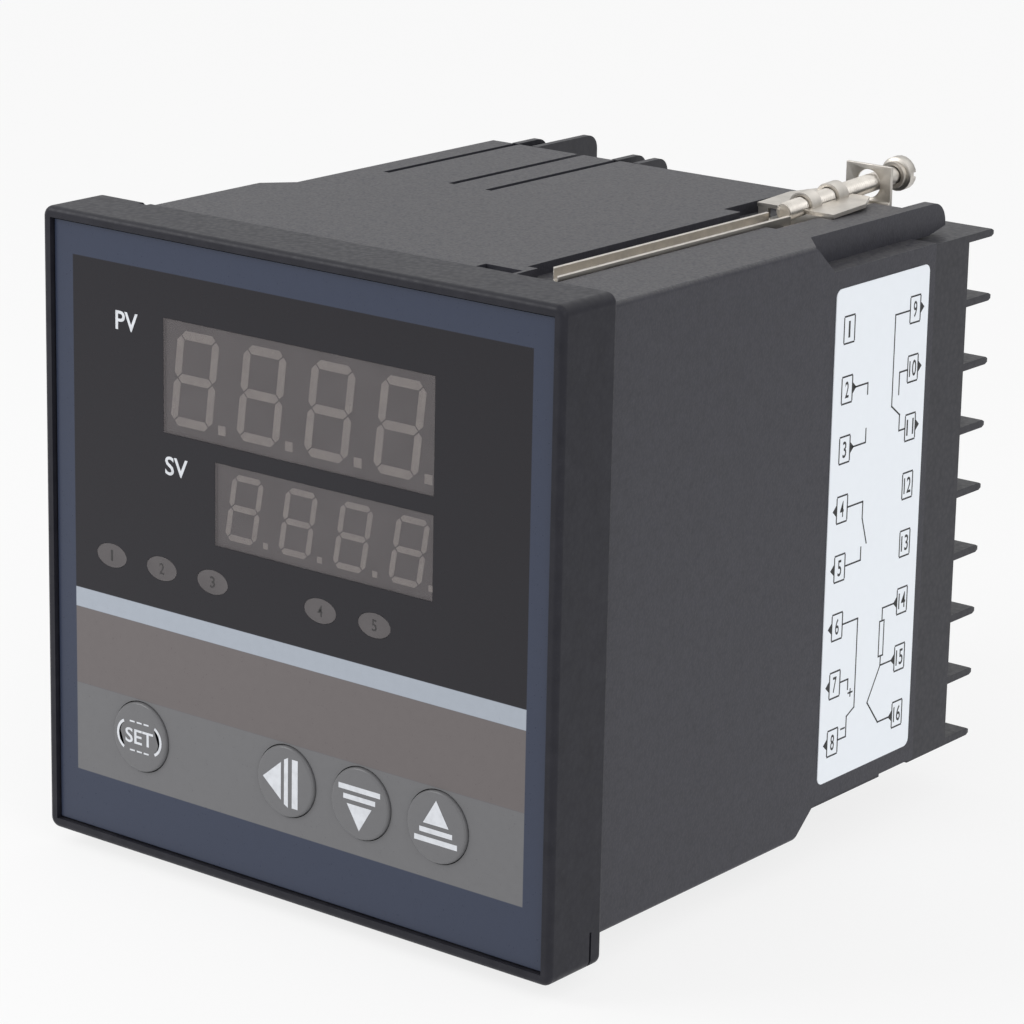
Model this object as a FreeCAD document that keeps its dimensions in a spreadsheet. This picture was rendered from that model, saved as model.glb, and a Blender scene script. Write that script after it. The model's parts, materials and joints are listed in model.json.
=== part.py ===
import FreeCAD, Part
import os
import re

import Sketcher

"""Panel-mount process controller: parametric model in millimetres.

The frame has +X to the right of the front, +Y away from the user and +Z up. Its origin is the centre of
the panel cut-out, in the plane where the bezel's back bears on the panel.
"""

DOC = FreeCAD.newDocument("PanelController")
SHEET = DOC.addObject("Spreadsheet::Sheet", "Sizes")
Vector = FreeCAD.Vector

# name, value in millimetres (degrees where the name says so), what it is
SIZES = (
    # front frame
    ("bezel_width", 96.0, "outside width of the front frame"),
    ("bezel_height", 96.0, "outside height of the front frame"),
    ("bezel_depth", 11.8, "front frame in front of the panel"),
    ("bezel_corner", 1.6, "radius of the frame's four long corners"),
    ("bezel_front_round", 0.9, "rounding of the front rim"),
    ("bezel_back_round", 0.8, "rounding of the rim next to the panel"),
    ("face_thick", 2.0, "plate behind the printed film"),
    ("case_seat", 1.0, "recess in the frame's back that takes the case's front end"),
    ("spigot_length", 6.0, "tongue of the front frame inside the case"),
    ("spigot_wall", 1.6, "wall of that tongue"),
    ("slide_gap", 0.3, "gap round anything that plugs into the case"),
    ("seam_width", 0.4, "latch seam in the frame's side"),
    ("seam_length", 5.6, "length of that seam"),
    ("seam_back", 2.5, "seam in front of the panel plane"),
    ("seam_depth", 1.0, "depth of that seam"),
    ("notch_x", 37.7, "release notch in the frame's top, left of the centre"),
    ("notch_wide", 1.7, "release notch"),
    ("notch_long", 1.5, "release notch, in front of the panel plane"),
    ("notch_deep", 0.9, "release notch"),
    # printed film
    ("film_width", 92.2, "film, across"),
    ("film_height", 92.2, "film, up"),
    ("film_thick", 0.4, "film thickness"),
    ("film_setback", 0.7, "film behind the front rim"),
    ("film_gap", 0.3, "gap round the film"),
    # display windows, modules and digits
    ("pv_x", 0.6, "centre of the large window"),
    ("pv_z", 26.3, "centre of the large window"),
    ("pv_wide", 50.4, "large window"),
    ("pv_high", 17.0, "large window"),
    ("pv_module_wide", 50.3, "large display module"),
    ("pv_module_high", 19.0, "large display module"),
    ("sv_x", 5.6, "centre of the small window"),
    ("sv_z", 9.0, "centre of the small window"),
    ("sv_wide", 40.4, "small window"),
    ("sv_high", 12.4, "small window"),
    ("sv_module_wide", 40.2, "small display module"),
    ("sv_module_high", 12.8, "small display module"),
    ("module_deep", 8.0, "display modules, front to back"),
    ("module_gap", 0.2, "gap round a module in the face plate"),
    ("module_air", 0.1, "air between film and module"),
    ("pane_gap", 0.05, "gap round a window pane"),
    ("segment_thick", 0.08, "height of a segment above its module"),
    ("segment_gap", 0.16, "gap between two segments"),
    ("digit_count", 4, "digits in a row"),
    ("pv_digit_high", 14.2, "large digit"),
    ("pv_digit_wide", 8.0, "large digit"),
    ("pv_digit_pitch", 12.7, "large digit spacing"),
    ("pv_stroke", 1.3, "large segment width"),
    ("pv_lean", 0.115, "slant, across for each unit up"),
    ("pv_shift", -0.4, "digits from the centre of their module"),
    ("pv_dot", 0.7, "half width of the large point"),
    ("sv_digit_high", 10.0, "small digit"),
    ("sv_digit_wide", 5.9, "small digit"),
    ("sv_digit_pitch", 10.16, "small digit spacing"),
    ("sv_stroke", 0.9, "small segment width"),
    ("sv_lean", 0.165, "slant, across for each unit up"),
    ("sv_shift", 0.3, "digits from the centre of their module"),
    ("sv_dot", 0.45, "half width of the small point"),
    # indicator lamps
    ("lamp_z", -2.8, "row of indicator lamps"),
    ("lamp_left", -35.1, "first lamp of the left three"),
    ("lamp_right", 5.4, "first lamp of the right two"),
    ("lamp_pitch", 10.0, "lamp spacing"),
    ("lamp_half_wide", 3.0, "half width of an oval lens"),
    ("lamp_half_high", 1.85, "half height of an oval lens"),
    ("led_wide", 5.0, "lamp behind the lens"),
    ("led_high", 2.0, "lamp behind the lens"),
    ("led_gap", 0.2, "gap round a lamp in the face plate"),
    ("led_length", 5.0, "lamp above the board"),
    # keys
    ("key_z", -29.6, "row of keys"),
    ("key_set_x", -29.3, "first key"),
    ("key_row_x", -0.6, "second key"),
    ("key_pitch", 14.0, "spacing of the last three keys"),
    ("key_radius", 5.35, "key cap"),
    ("key_gap", 0.15, "gap round a key cap"),
    ("key_rise", 0.55, "key cap above the film"),
    ("key_skirt", 0.8, "cap edge below the film's face"),
    ("key_well", 0.9, "counterbore in the face plate"),
    ("key_round", 0.4, "bevel round the cap"),
    ("key_stem", 3.6, "square stem, which keeps the cap from turning"),
    ("key_stem_gap", 0.3, "gap round the stem"),
    ("switch_size", 6.0, "square body of a push switch"),
    ("switch_high", 3.5, "switch body above the board"),
    ("plunger_size", 3.0, "square plunger of a push switch"),
    ("plunger_out", 1.0, "plunger above the switch body"),
    ("plunger_in", 0.6, "plunger inside the switch body"),
    ("plunger_well", 1.1, "depth of the plunger's well"),
    ("plunger_gap", 0.08, "gap round the plunger"),
    # case
    ("case_width", 90.0, "case, across"),
    ("case_height", 91.0, "case, up"),
    ("case_depth", 84.0, "case behind the panel plane"),
    ("case_wall", 2.0, "case wall"),
    ("case_corner", 0.8, "rounding of the case's long edges"),
    ("rebate_side", 4.5, "corner rebate measured across"),
    ("rebate_low_side", 6.0, "lower right rebate measured across"),
    ("rebate_up", 4.5, "corner rebate measured up"),
    ("rebate_right", 51.4, "start of the right rebates"),
    ("rebate_left", 30.5, "start of the left rebates"),
    ("rebate_ramp", 5.2, "length of their sloped ends"),
    ("cheek_long", 9.4, "upper right cheek behind the case"),
    ("cheek_round", 3.4, "rounded corner of that cheek"),
    ("cheek_under", 1.0, "slanted undercut of the cheek"),
    ("slot_width", 1.2, "guide slots in the top"),
    ("slot_start", 51.2, "front end of the guide slots"),
    ("slot_one", 35.7, "guide slot left of the centre"),
    ("slot_two", 22.6, "guide slot left of the centre"),
    ("slot_three", 15.3, "guide slot left of the centre"),
    ("latch_left", 17.0, "latch window, inner side"),
    ("latch_right", 23.6, "latch window, outer side"),
    ("latch_front", 4.5, "latch window, front"),
    ("latch_back", 10.4, "latch window, back"),
    ("latch_deep", 2.4, "latch window, depth"),
    # clamp groove
    ("clamp_x", 28.9, "clamp, right of the centre"),
    ("groove_deep", 1.75, "clamp groove"),
    ("groove_front", 1.5, "front end of the groove"),
    ("groove_inner", 4.7, "groove's inner side from the clamp's line, at the front"),
    ("groove_step", 13.0, "where the groove widens inwards"),
    ("groove_left", 6.5, "groove's inner side from the clamp's line"),
    ("groove_right", 2.7, "groove's outer side from the clamp's line"),
    ("groove_wide", 58.0, "where the groove widens outwards"),
    ("groove_back_right", 4.5, "outer side there"),
    ("groove_hook", 64.5, "where it widens for the anchor"),
    ("groove_back_left", 9.5, "inner side there"),
    ("groove_floor", 3.0, "wall below the groove"),
    # clamp bar
    ("strip_thick", 0.6, "sheet of the clamp bar"),
    ("strip_air", 0.05, "bar above the groove's floor"),
    ("channel_wide", 4.5, "channel, outside"),
    ("channel_rise", 0.55, "channel's edges above the case"),
    ("bar_front", 8.5, "front end of the bar"),
    ("bar_bevel", 4.8, "slanted cut at the front"),
    ("bar_flare", 64.5, "where the channel ends"),
    ("tab_wide", 8.2, "upturned tab and flat of the bar"),
    ("tab_rear", 89.8, "back of the tab"),
    ("tab_top", 50.2, "top of the tab above the centre plane"),
    ("tab_hole", 2.2, "radius of the hole in the tab"),
    # clamp anchor, screw and washer
    ("clamp_tilt", 2.6, "slope of the clamp screw in degrees"),
    ("axis_up", 0.75, "screw line above the case, at the anchor's front edge"),
    ("anchor_y", 69.5, "front edge of the anchor"),
    ("anchor_long", 13.0, "anchor, front to back"),
    ("anchor_half", 6.9, "half width of the anchor"),
    ("anchor_thick", 0.6, "sheet of the anchor"),
    ("anchor_drop", 0.05, "anchor's upper face below the screw line"),
    ("anchor_bevel", 2.2, "bevelled back corners"),
    ("loop_long", 2.5, "each loop over the screw"),
    ("loop_front", 1.5, "front loop"),
    ("loop_back", 8.7, "back loop"),
    ("loop_air", 0.1, "air between screw and loop"),
    ("lip_wide", 1.8, "downturned lips"),
    ("lip_edge", 0.2, "lips inside the anchor's ends"),
    ("lip_down_right", 1.9, "right lip below the screw line"),
    ("lip_down_left", 3.2, "left lip below the screw line"),
    ("lip_slot", 1.0, "slots for the lips, front to back"),
    ("screw_radius", 1.47, "clamp screw"),
    ("screw_tip", 3.2, "screw in front of the anchor's front edge"),
    ("head_under", 27.4, "underside of the head from the anchor's front edge"),
    ("head_high", 2.2, "screw head"),
    ("head_radius", 2.7, "screw head"),
    ("head_slot", 0.8, "driver slot"),
    ("head_slot_deep", 1.1, "driver slot"),
    ("washer_radius", 2.1, "washer under the head"),
    ("washer_thick", 0.8, "washer under the head"),
    ("washer_gap", 0.08, "washer on the screw"),
    # terminal base
    ("base_half_wide", 44.0, "half width of the terminal base"),
    ("base_half_high", 41.2, "half height of the terminal base"),
    ("base_drop", 0.8, "terminal base below the centre plane"),
    ("base_plug", 6.0, "part inside the case"),
    ("base_plug_wall", 1.8, "wall of that part"),
    ("base_wall", 4.0, "rear wall behind the case"),
    ("base_deep", 11.0, "terminal columns behind the case"),
    ("column_in", 30.0, "inner side of a terminal column"),
    ("terminal_count", 8, "terminals in a column"),
    ("terminal_x", 37.5, "terminal screws from the centre"),
    ("barrier_thick", 1.2, "plates between terminals"),
    ("barrier_long", 7.0, "plates behind the columns"),
    ("barrier_in", 31.0, "inner edge of the plates"),
    ("barrier_taper", 0.3, "rounded tip of a plate"),
    ("nest_wide", 8.2, "recess for a contact"),
    ("nest_high", 7.4, "recess for a contact"),
    ("nest_deep", 1.5, "recess for a contact"),
    ("fin_thick", 1.2, "upright fins at the rear of the top"),
    ("fin_one", 36.2, "fin left of the centre"),
    ("fin_two", 32.2, "fin left of the centre"),
    ("fin_three", 16.0, "fin left of the centre"),
    ("fin_four", 11.8, "fin left of the centre"),
    ("fin_long", 8.2, "fins behind the case"),
    ("fin_two_long", 16.4, "longest fin behind the case"),
    ("fin_round", 2.4, "rounded corner of a fin"),
    ("fin_low", 36.0, "foot of the two inner fins"),
    ("vent_count", 8, "vent slots in the rear wall"),
    ("vent_pitch", 6.0, "vent slots in the rear wall"),
    ("vent_wide", 2.2, "vent slots in the rear wall"),
    ("vent_high", 52.0, "vent slots in the rear wall"),
    # terminals
    ("contact_wide", 7.8, "contact plate"),
    ("contact_high", 7.0, "contact plate"),
    ("contact_thick", 1.0, "contact plate"),
    ("tail_wide", 0.8, "contact tail"),
    ("tail_high", 1.4, "contact tail"),
    ("tail_up", 0.4, "contact tail above the screw's line"),
    ("tail_long", 14.0, "contact tail"),
    ("tail_gap", 0.15, "gap round the tail"),
    ("washer_square", 7.0, "square terminal clamp"),
    ("washer_square_thick", 1.0, "square terminal clamp"),
    ("wire_screw_radius", 1.45, "terminal screw"),
    ("wire_screw_long", 8.5, "terminal screw below its head"),
    ("wire_screw_gap", 0.08, "gap round a terminal screw"),
    ("wire_head_radius", 2.9, "terminal screw head"),
    ("wire_head_high", 2.2, "terminal screw head"),
    # label
    ("label_front", 57.2, "label's front edge"),
    ("label_back", 82.2, "label's back edge"),
    ("label_half_high", 38.2, "half height of the label"),
    ("label_corner", 1.2, "label's corner radius"),
    ("label_thick", 0.12, "label"),
    # boards and what they carry
    ("board_thick", 1.6, "circuit boards"),
    ("panel_board_half_wide", 39.0, "display board"),
    ("panel_board_half_high", 36.0, "display board"),
    ("side_board_x", 35.5, "mid plane of the side boards"),
    ("side_board_half_high", 36.0, "side boards"),
    ("board_air", 0.1, "air at a board's edge"),
    ("core_wide", 22.0, "transformer core away from its board"),
    ("core_front", 14.0, "transformer core"),
    ("core_long", 32.0, "transformer core"),
    ("core_half_high", 19.0, "transformer core"),
    ("core_limb", 6.0, "transformer core's limbs"),
    ("coil_gap", 0.2, "gap round the coil"),
    ("coil_over", 5.0, "coil beyond the core"),
    ("relay_deep", 15.5, "relays above their board"),
    ("relay_long", 19.0, "relays"),
    ("relay_high", 15.0, "relays"),
    ("relay_front", 54.0, "relays"),
    ("relay_z", 24.0, "relays from the centre plane"),
    ("can_radius", 6.3, "filter capacitor"),
    ("can_long", 20.0, "filter capacitor"),
    ("can_y", 62.0, "filter capacitor"),
    ("chip_size", 14.0, "controller chip"),
    ("chip_thick", 1.4, "controller chip"),
    ("chip_y", 30.0, "controller chip"),
    ("header_long", 6.0, "board-to-board headers"),
    ("header_half_high", 12.0, "board-to-board headers"),
    ("header_wide", 3.4, "board-to-board headers"),
)

for row, (alias, number, meaning) in enumerate(SIZES, start=1):
    SHEET.set("A%d" % row, alias)
    SHEET.set("B%d" % row, str(number))
    SHEET.setAlias("B%d" % row, alias)
    SHEET.set("C%d" % row, meaning)
DOC.recompute()

ALIASES = {alias for alias, number, meaning in SIZES}

# places that several pieces share, written with the sheet's names
FILM_FRONT = "(film_setback - bezel_depth)"
FACE_FRONT = "(film_setback + film_thick - bezel_depth)"
FACE_BACK = "(film_setback + film_thick + face_thick - bezel_depth)"
MODULE_FRONT = "(film_setback + film_thick + module_air - bezel_depth)"
BOARD_FRONT = "(film_setback + film_thick + module_air + module_deep - bezel_depth)"
BOARD_BACK = "(%s + board_thick)" % BOARD_FRONT
SWITCH_TOP = "(%s - switch_high)" % BOARD_FRONT
PLUNGER_TOP = "(%s - plunger_out)" % SWITCH_TOP
CAP_BACK = "(%s + key_skirt)" % FILM_FRONT
IN_X = "(case_width / 2 - case_wall)"
IN_Z = "(case_height / 2 - case_wall)"
NOTCH_X = "(case_width / 2 - rebate_side - case_wall)"
NOTCH_LOW_X = "(case_width / 2 - rebate_low_side - case_wall)"
NOTCH_Z = "(case_height / 2 - rebate_up - case_wall)"
PLUG_X = "(%s - slide_gap)" % IN_X
PLUG_Z = "(%s - slide_gap)" % NOTCH_Z
FLOOR_Z = "(case_height / 2 - groove_deep)"
BOSS_Z = "(case_height / 2 - groove_deep - groove_floor)"
BOSS_LEFT = "(latch_left - case_wall)"
BOSS_RIGHT = "(clamp_x + groove_back_right + case_wall)"
STRIP_Z = "(case_height / 2 - groove_deep + strip_air)"
AXIS_Z = "(case_height / 2 + axis_up)"
COLUMN_BACK = "(case_depth + base_deep)"
NEST_FLOOR = "(case_depth + base_deep - nest_deep)"
TERMINAL_PITCH = "((base_half_high * 2 - barrier_thick) / terminal_count)"
LOW_TERMINAL = "(-base_drop - base_half_high + barrier_thick / 2 + %s / 2)" % TERMINAL_PITCH
LOW_BARRIER = "(-base_drop - base_half_high + barrier_thick / 2)"
BASE_TOP = "(base_half_high - base_drop)"
BASE_FOOT = "(-base_half_high - base_drop)"
CLAMP_FACE = "(%s + contact_thick)" % NEST_FLOOR
HEAD_FACE = "(%s + contact_thick + washer_square_thick)" % NEST_FLOOR
BOARD_OUTER = "(side_board_x + board_thick / 2)"
BOARD_INNER = "(side_board_x - board_thick / 2)"
CAVITY_SIZE = "(2 * wire_screw_radius + 4 * wire_screw_gap)"
CUT_CLEAR = "1"


def expression(text):
    """Return text with each size's name written as a cell of the sheet."""
    def qualify(match):
        word = match.group(0)
        return "Sizes." + word if word in ALIASES else word
    return re.sub(r"[a-z][a-z0-9_]*", qualify, text)


def value(text):
    """Return the number that a text of sizes comes to."""
    result = SHEET.evalExpression(expression(text))
    return float(getattr(result, "Value", result))


def bind(item, prop, text):
    """Tie one property of a document object to the sheet."""
    item.setExpression(prop, expression(text))


def negative(text):
    """Return the opposite of a text of sizes."""
    return "-(%s)" % text


def rectangle(left, right, low, high):
    """Return the corners of an upright rectangle."""
    return [(left, low), (right, low), (right, high), (left, high)]


def centred(across, up, wide, high):
    """Return the corners of a rectangle about a centre."""
    return rectangle("(%s) - (%s) / 2" % (across, wide), "(%s) + (%s) / 2" % (across, wide),
                     "(%s) - (%s) / 2" % (up, high), "(%s) + (%s) / 2" % (up, high))


def turned(points):
    """Return an outline turned half a turn about the depth axis."""
    return [(negative(across), negative(up)) for across, up in points]


class Moulding:
    """One PartDesign body, made from sketches on its own origin planes."""

    def __init__(self, label, several=False):
        self.body = DOC.addObject("PartDesign::Body", label)
        self.body.Label = label
        if several:
            self.body.AllowCompound = True
        self.label = label
        self.steps = 0

    def name(self, word):
        """Return a new name for a feature of this body."""
        self.steps += 1
        return "%s_%s_%d" % (self.label, word, self.steps)

    def plane(self, role):
        """Return one of the body's origin planes or axes."""
        for feature in self.body.Origin.OriginFeatures:
            if feature.Role == role:
                return feature
        raise ValueError(role)

    def sketch(self, role, level, polygons=(), circles=()):
        """Draw closed outlines on an origin plane, at a level along its axis."""
        item = self.body.newObject("Sketcher::SketchObject", self.name("sketch"))
        item.AttachmentSupport = (self.plane(role), [""])
        item.MapMode = "FlatFace"
        bind(item, "AttachmentOffset.Base.z", negative(level) if role == "XZ_Plane" else level)
        for points in polygons:
            self.draw_polygon(item, points)
        for across, up, radius in circles:
            self.draw_circle(item, across, up, radius)
        return item

    @staticmethod
    def draw_polygon(item, points):
        """Add one closed polygon whose corners are tied to the sheet."""
        first = item.GeometryCount
        corners = [(value(across), value(up)) for across, up in points]
        count = len(corners)
        lines = []
        for start, end in zip(corners, corners[1:] + corners[:1]):
            lines.append(Part.LineSegment(Vector(start[0], start[1], 0), Vector(end[0], end[1], 0)))
        item.addGeometry(lines, False)
        for index in range(count):
            following = first + (index + 1) % count
            item.addConstraint(Sketcher.Constraint("Coincident", first + index, 2, following, 1))
        for index, (across, up) in enumerate(points):
            for kind, text, number in (("DistanceX", across, corners[index][0]),
                                       ("DistanceY", up, corners[index][1])):
                place = item.addConstraint(Sketcher.Constraint(kind, first + index, 1, number))
                item.setExpression("Constraints[%d]" % place, expression(text))

    @staticmethod
    def draw_circle(item, across, up, radius):
        """Add one circle whose centre and radius are tied to the sheet."""
        index = item.GeometryCount
        centre = Vector(value(across), value(up), 0)
        item.addGeometry(Part.Circle(centre, Vector(0, 0, 1), value(radius)), False)
        for kind, text, number in (("DistanceX", across, centre.x), ("DistanceY", up, centre.y)):
            place = item.addConstraint(Sketcher.Constraint(kind, index, 3, number))
            item.setExpression("Constraints[%d]" % place, expression(text))
        place = item.addConstraint(Sketcher.Constraint("Radius", index, value(radius)))
        item.setExpression("Constraints[%d]" % place, expression(radius))

    def extrude(self, kind, role, low, high, polygons=(), circles=()):
        """Pad or pocket outlines from one level up to another along a plane's axis."""
        profile = self.sketch(role, low, polygons, circles)
        feature = self.body.newObject("PartDesign::" + kind, self.name(kind.lower()))
        feature.Profile = profile
        bind(feature, "Length", "(%s) - (%s)" % (high, low))
        upwards_is_normal = role != "XZ_Plane"
        feature.Reversed = upwards_is_normal if kind == "Pocket" else not upwards_is_normal
        before = self.volume()
        DOC.recompute()
        after = feature.Shape.Volume
        if kind == "Pocket" and not after < before:
            raise ValueError("%s cut nothing" % feature.Name)
        if kind == "Pad" and not after > before:
            raise ValueError("%s added nothing" % feature.Name)
        return feature

    def pad(self, role, low, high, polygons=(), circles=()):
        """Add material between two levels."""
        return self.extrude("Pad", role, low, high, polygons, circles)

    def pocket(self, role, low, high, polygons=(), circles=()):
        """Take material away between two levels."""
        return self.extrude("Pocket", role, low, high, polygons, circles)

    def volume(self):
        """Return the volume of the body so far."""
        shape = self.body.Shape
        return 0.0 if shape.isNull() else shape.Volume

    def repeat(self, features, role, step, count):
        """Copy features along an origin axis at a fixed step."""
        pattern = self.body.newObject("PartDesign::LinearPattern", self.name("pattern"))
        pattern.Originals = features
        pattern.Direction = (self.plane(role), [""])
        bind(pattern, "Length", "(%s) * (%s - 1)" % (step, count))
        bind(pattern, "Occurrences", count)
        self.body.Tip = pattern
        DOC.recompute()
        return pattern

    def fillet(self, radius, test):
        """Round the edges of the body whose middle and direction pass a test."""
        base = self.body.Tip
        chosen = []
        for index, edge in enumerate(base.Shape.Edges, start=1):
            middle = edge.valueAt((edge.FirstParameter + edge.LastParameter) / 2)
            if edge.Curve.TypeId == "Part::GeomLine" and test(middle, edge.Curve.Direction, edge):
                chosen.append("Edge%d" % index)
        if not chosen:
            raise ValueError("%s has no edge to round" % self.label)
        feature = self.body.newObject("PartDesign::Fillet", self.name("fillet"))
        feature.Base = (base, chosen)
        bind(feature, "Radius", radius)
        self.body.Tip = feature
        DOC.recompute()
        return feature


def near(first, second):
    """Say whether two coordinates are the same place."""
    return abs(first - second) < 1e-4


def block(name, left, right, front, back, low, high):
    """Make a Part box between six levels."""
    item = DOC.addObject("Part::Box", name)
    bind(item, "Placement.Base.x", left)
    bind(item, "Placement.Base.y", front)
    bind(item, "Placement.Base.z", low)
    bind(item, "Length", "(%s) - (%s)" % (right, left))
    bind(item, "Width", "(%s) - (%s)" % (back, front))
    bind(item, "Height", "(%s) - (%s)" % (high, low))
    return item


def rod(name, radius, across, front, back, up):
    """Make a Part cylinder that runs along the depth axis."""
    item = DOC.addObject("Part::Cylinder", name)
    item.Placement = FreeCAD.Placement(Vector(0, 0, 0), FreeCAD.Rotation(Vector(1, 0, 0), -90))
    bind(item, "Placement.Base.x", across)
    bind(item, "Placement.Base.y", front)
    bind(item, "Placement.Base.z", up)
    bind(item, "Radius", radius)
    bind(item, "Height", "(%s) - (%s)" % (back, front))
    return item


def oval(name, half_wide, half_high, across, front, back, up):
    """Make an elliptical rod that runs along the depth axis."""
    outline = DOC.addObject("Part::Ellipse", name + "_outline")
    outline.Placement = FreeCAD.Placement(Vector(0, 0, 0), FreeCAD.Rotation(Vector(1, 0, 0), 90))
    bind(outline, "MajorRadius", half_wide)
    bind(outline, "MinorRadius", half_high)
    bind(outline, "Placement.Base.x", across)
    bind(outline, "Placement.Base.y", front)
    bind(outline, "Placement.Base.z", up)
    item = DOC.addObject("Part::Extrusion", name)
    item.Base = outline
    item.DirMode = "Custom"
    item.Dir = Vector(0, 1, 0)
    item.Solid = True
    bind(item, "LengthFwd", "(%s) - (%s)" % (back, front))
    return item


def gather(name, kind, items):
    """Join or group several objects: kind is MultiFuse or Compound."""
    item = DOC.addObject("Part::" + kind, name)
    if kind == "Compound":
        item.Links = items
    else:
        item.Shapes = items
    return item


def cut(name, base, tools):
    """Cut tools out of a base."""
    item = DOC.addObject("Part::Cut", name)
    item.Base = base
    item.Tool = tools[0] if len(tools) == 1 else gather(name + "_tools", "MultiFuse", tools)
    return item


NODES = []


def node(item, label):
    """Name a finished sub-part."""
    item.Label = label
    NODES.append(item)
    return item


KEYS = (
    ("set_key", "key_set_x"),
    ("left_key", "key_row_x"),
    ("down_key", "(key_row_x + key_pitch)"),
    ("up_key", "(key_row_x + 2 * key_pitch)"),
)
LAMPS = (
    "lamp_left",
    "(lamp_left + lamp_pitch)",
    "(lamp_left + 2 * lamp_pitch)",
    "lamp_right",
    "(lamp_right + lamp_pitch)",
)


def make_bezel():
    """Front frame: a square tray with a plate for the film and a tongue for the case."""
    frame = Moulding("front_bezel")
    frame.pad("XZ_Plane", "-bezel_depth", "0",
              [rectangle("-bezel_width / 2", "bezel_width / 2", "-bezel_height / 2", "bezel_height / 2")])
    frame.fillet("bezel_corner", lambda middle, way, edge: abs(way.y) > 0.9)
    front = value("-bezel_depth")
    frame.fillet("bezel_front_round", lambda middle, way, edge: near(middle.y, front))
    frame.fillet("bezel_back_round", lambda middle, way, edge: near(middle.y, 0))
    frame.pocket("XZ_Plane", "-bezel_depth", FACE_FRONT,
                 [centred("0", "0", "film_width + 2 * film_gap", "film_height + 2 * film_gap")])
    frame.pocket("XZ_Plane", "-case_seat", CUT_CLEAR,
                 [centred("0", "0", "case_width + 2 * slide_gap", "case_height + 2 * slide_gap")])
    frame.pad("XZ_Plane", "-case_seat - " + CUT_CLEAR, "spigot_length",
              [rectangle(negative(PLUG_X), PLUG_X, negative(PLUG_Z), PLUG_Z)])
    inner_x = "(%s - spigot_wall)" % PLUG_X
    inner_z = "(%s - spigot_wall)" % PLUG_Z
    frame.pocket("XZ_Plane", FACE_BACK, "spigot_length + " + CUT_CLEAR,
                 [rectangle(negative(inner_x), inner_x, negative(inner_z), inner_z)])
    frame.pocket("XZ_Plane", FACE_FRONT, FACE_BACK + " + " + CUT_CLEAR,
                 [centred("pv_x", "pv_z", "pv_module_wide + 2 * module_gap", "pv_module_high + 2 * module_gap"),
                  centred("sv_x", "sv_z", "sv_module_wide + 2 * module_gap", "sv_module_high + 2 * module_gap")]
                 + [centred(across, "lamp_z", "led_wide + 2 * led_gap", "led_high + 2 * led_gap")
                    for across in LAMPS]
                 + [centred(across, "key_z", "key_stem + 2 * key_stem_gap", "key_stem + 2 * key_stem_gap")
                    for label, across in KEYS])
    frame.pocket("XZ_Plane", FACE_FRONT, FACE_FRONT + " + key_well",
                 circles=[(across, "key_z", "key_radius + key_gap + key_stem_gap") for label, across in KEYS])
    seam_low = "-bezel_height / 2 - " + CUT_CLEAR
    seam_high = "seam_length - bezel_height / 2"
    frame.pocket("YZ_Plane", "bezel_width / 2 - seam_depth", "bezel_width / 2 + " + CUT_CLEAR,
                 [rectangle("-seam_back - seam_width", "-seam_back", seam_low, seam_high)])
    frame.pocket("XY_Plane", "bezel_height / 2 - notch_deep", "bezel_height / 2 + " + CUT_CLEAR,
                 [rectangle("-notch_x - notch_wide / 2", "notch_wide / 2 - notch_x", "-notch_long", CUT_CLEAR)])
    node(frame.body, "front_bezel")


def make_film():
    """Printed film with openings for the windows, the lamps and the key caps."""
    sheet = block("film_blank", "-film_width / 2", "film_width / 2", FILM_FRONT, FACE_FRONT,
                  "-film_height / 2", "film_height / 2")
    front = FILM_FRONT + " - " + CUT_CLEAR
    back = FACE_FRONT + " + " + CUT_CLEAR
    tools = [
        block("film_pv", "pv_x - pv_wide / 2", "pv_x + pv_wide / 2", front, back,
              "pv_z - pv_high / 2", "pv_z + pv_high / 2"),
        block("film_sv", "sv_x - sv_wide / 2", "sv_x + sv_wide / 2", front, back,
              "sv_z - sv_high / 2", "sv_z + sv_high / 2"),
    ]
    for index, across in enumerate(LAMPS):
        tools.append(oval("film_lamp_%d" % index, "lamp_half_wide", "lamp_half_high", across, front, back,
                          "lamp_z"))
    for label, across in KEYS:
        tools.append(rod("film_" + label, "key_radius + key_gap", across, front, back, "key_z"))
    node(cut("film_cut", sheet, tools), "front_film")
    for label, across, up, wide, high in (("pv_window", "pv_x", "pv_z", "pv_wide", "pv_high"),
                                          ("sv_window", "sv_x", "sv_z", "sv_wide", "sv_high")):
        pane = block(label, "%s - %s / 2 + pane_gap" % (across, wide), "%s + %s / 2 - pane_gap" % (across, wide),
                     FILM_FRONT, FACE_FRONT,
                     "%s - %s / 2 + pane_gap" % (up, high), "%s + %s / 2 - pane_gap" % (up, high))
        node(pane, label)
    lenses = []
    for index, across in enumerate(LAMPS):
        lenses.append(oval("lens_%d" % index, "lamp_half_wide - pane_gap", "lamp_half_high - pane_gap",
                           across, FILM_FRONT, FACE_FRONT, "lamp_z"))
    node(gather("lenses", "Compound", lenses), "indicator_lenses")


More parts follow.
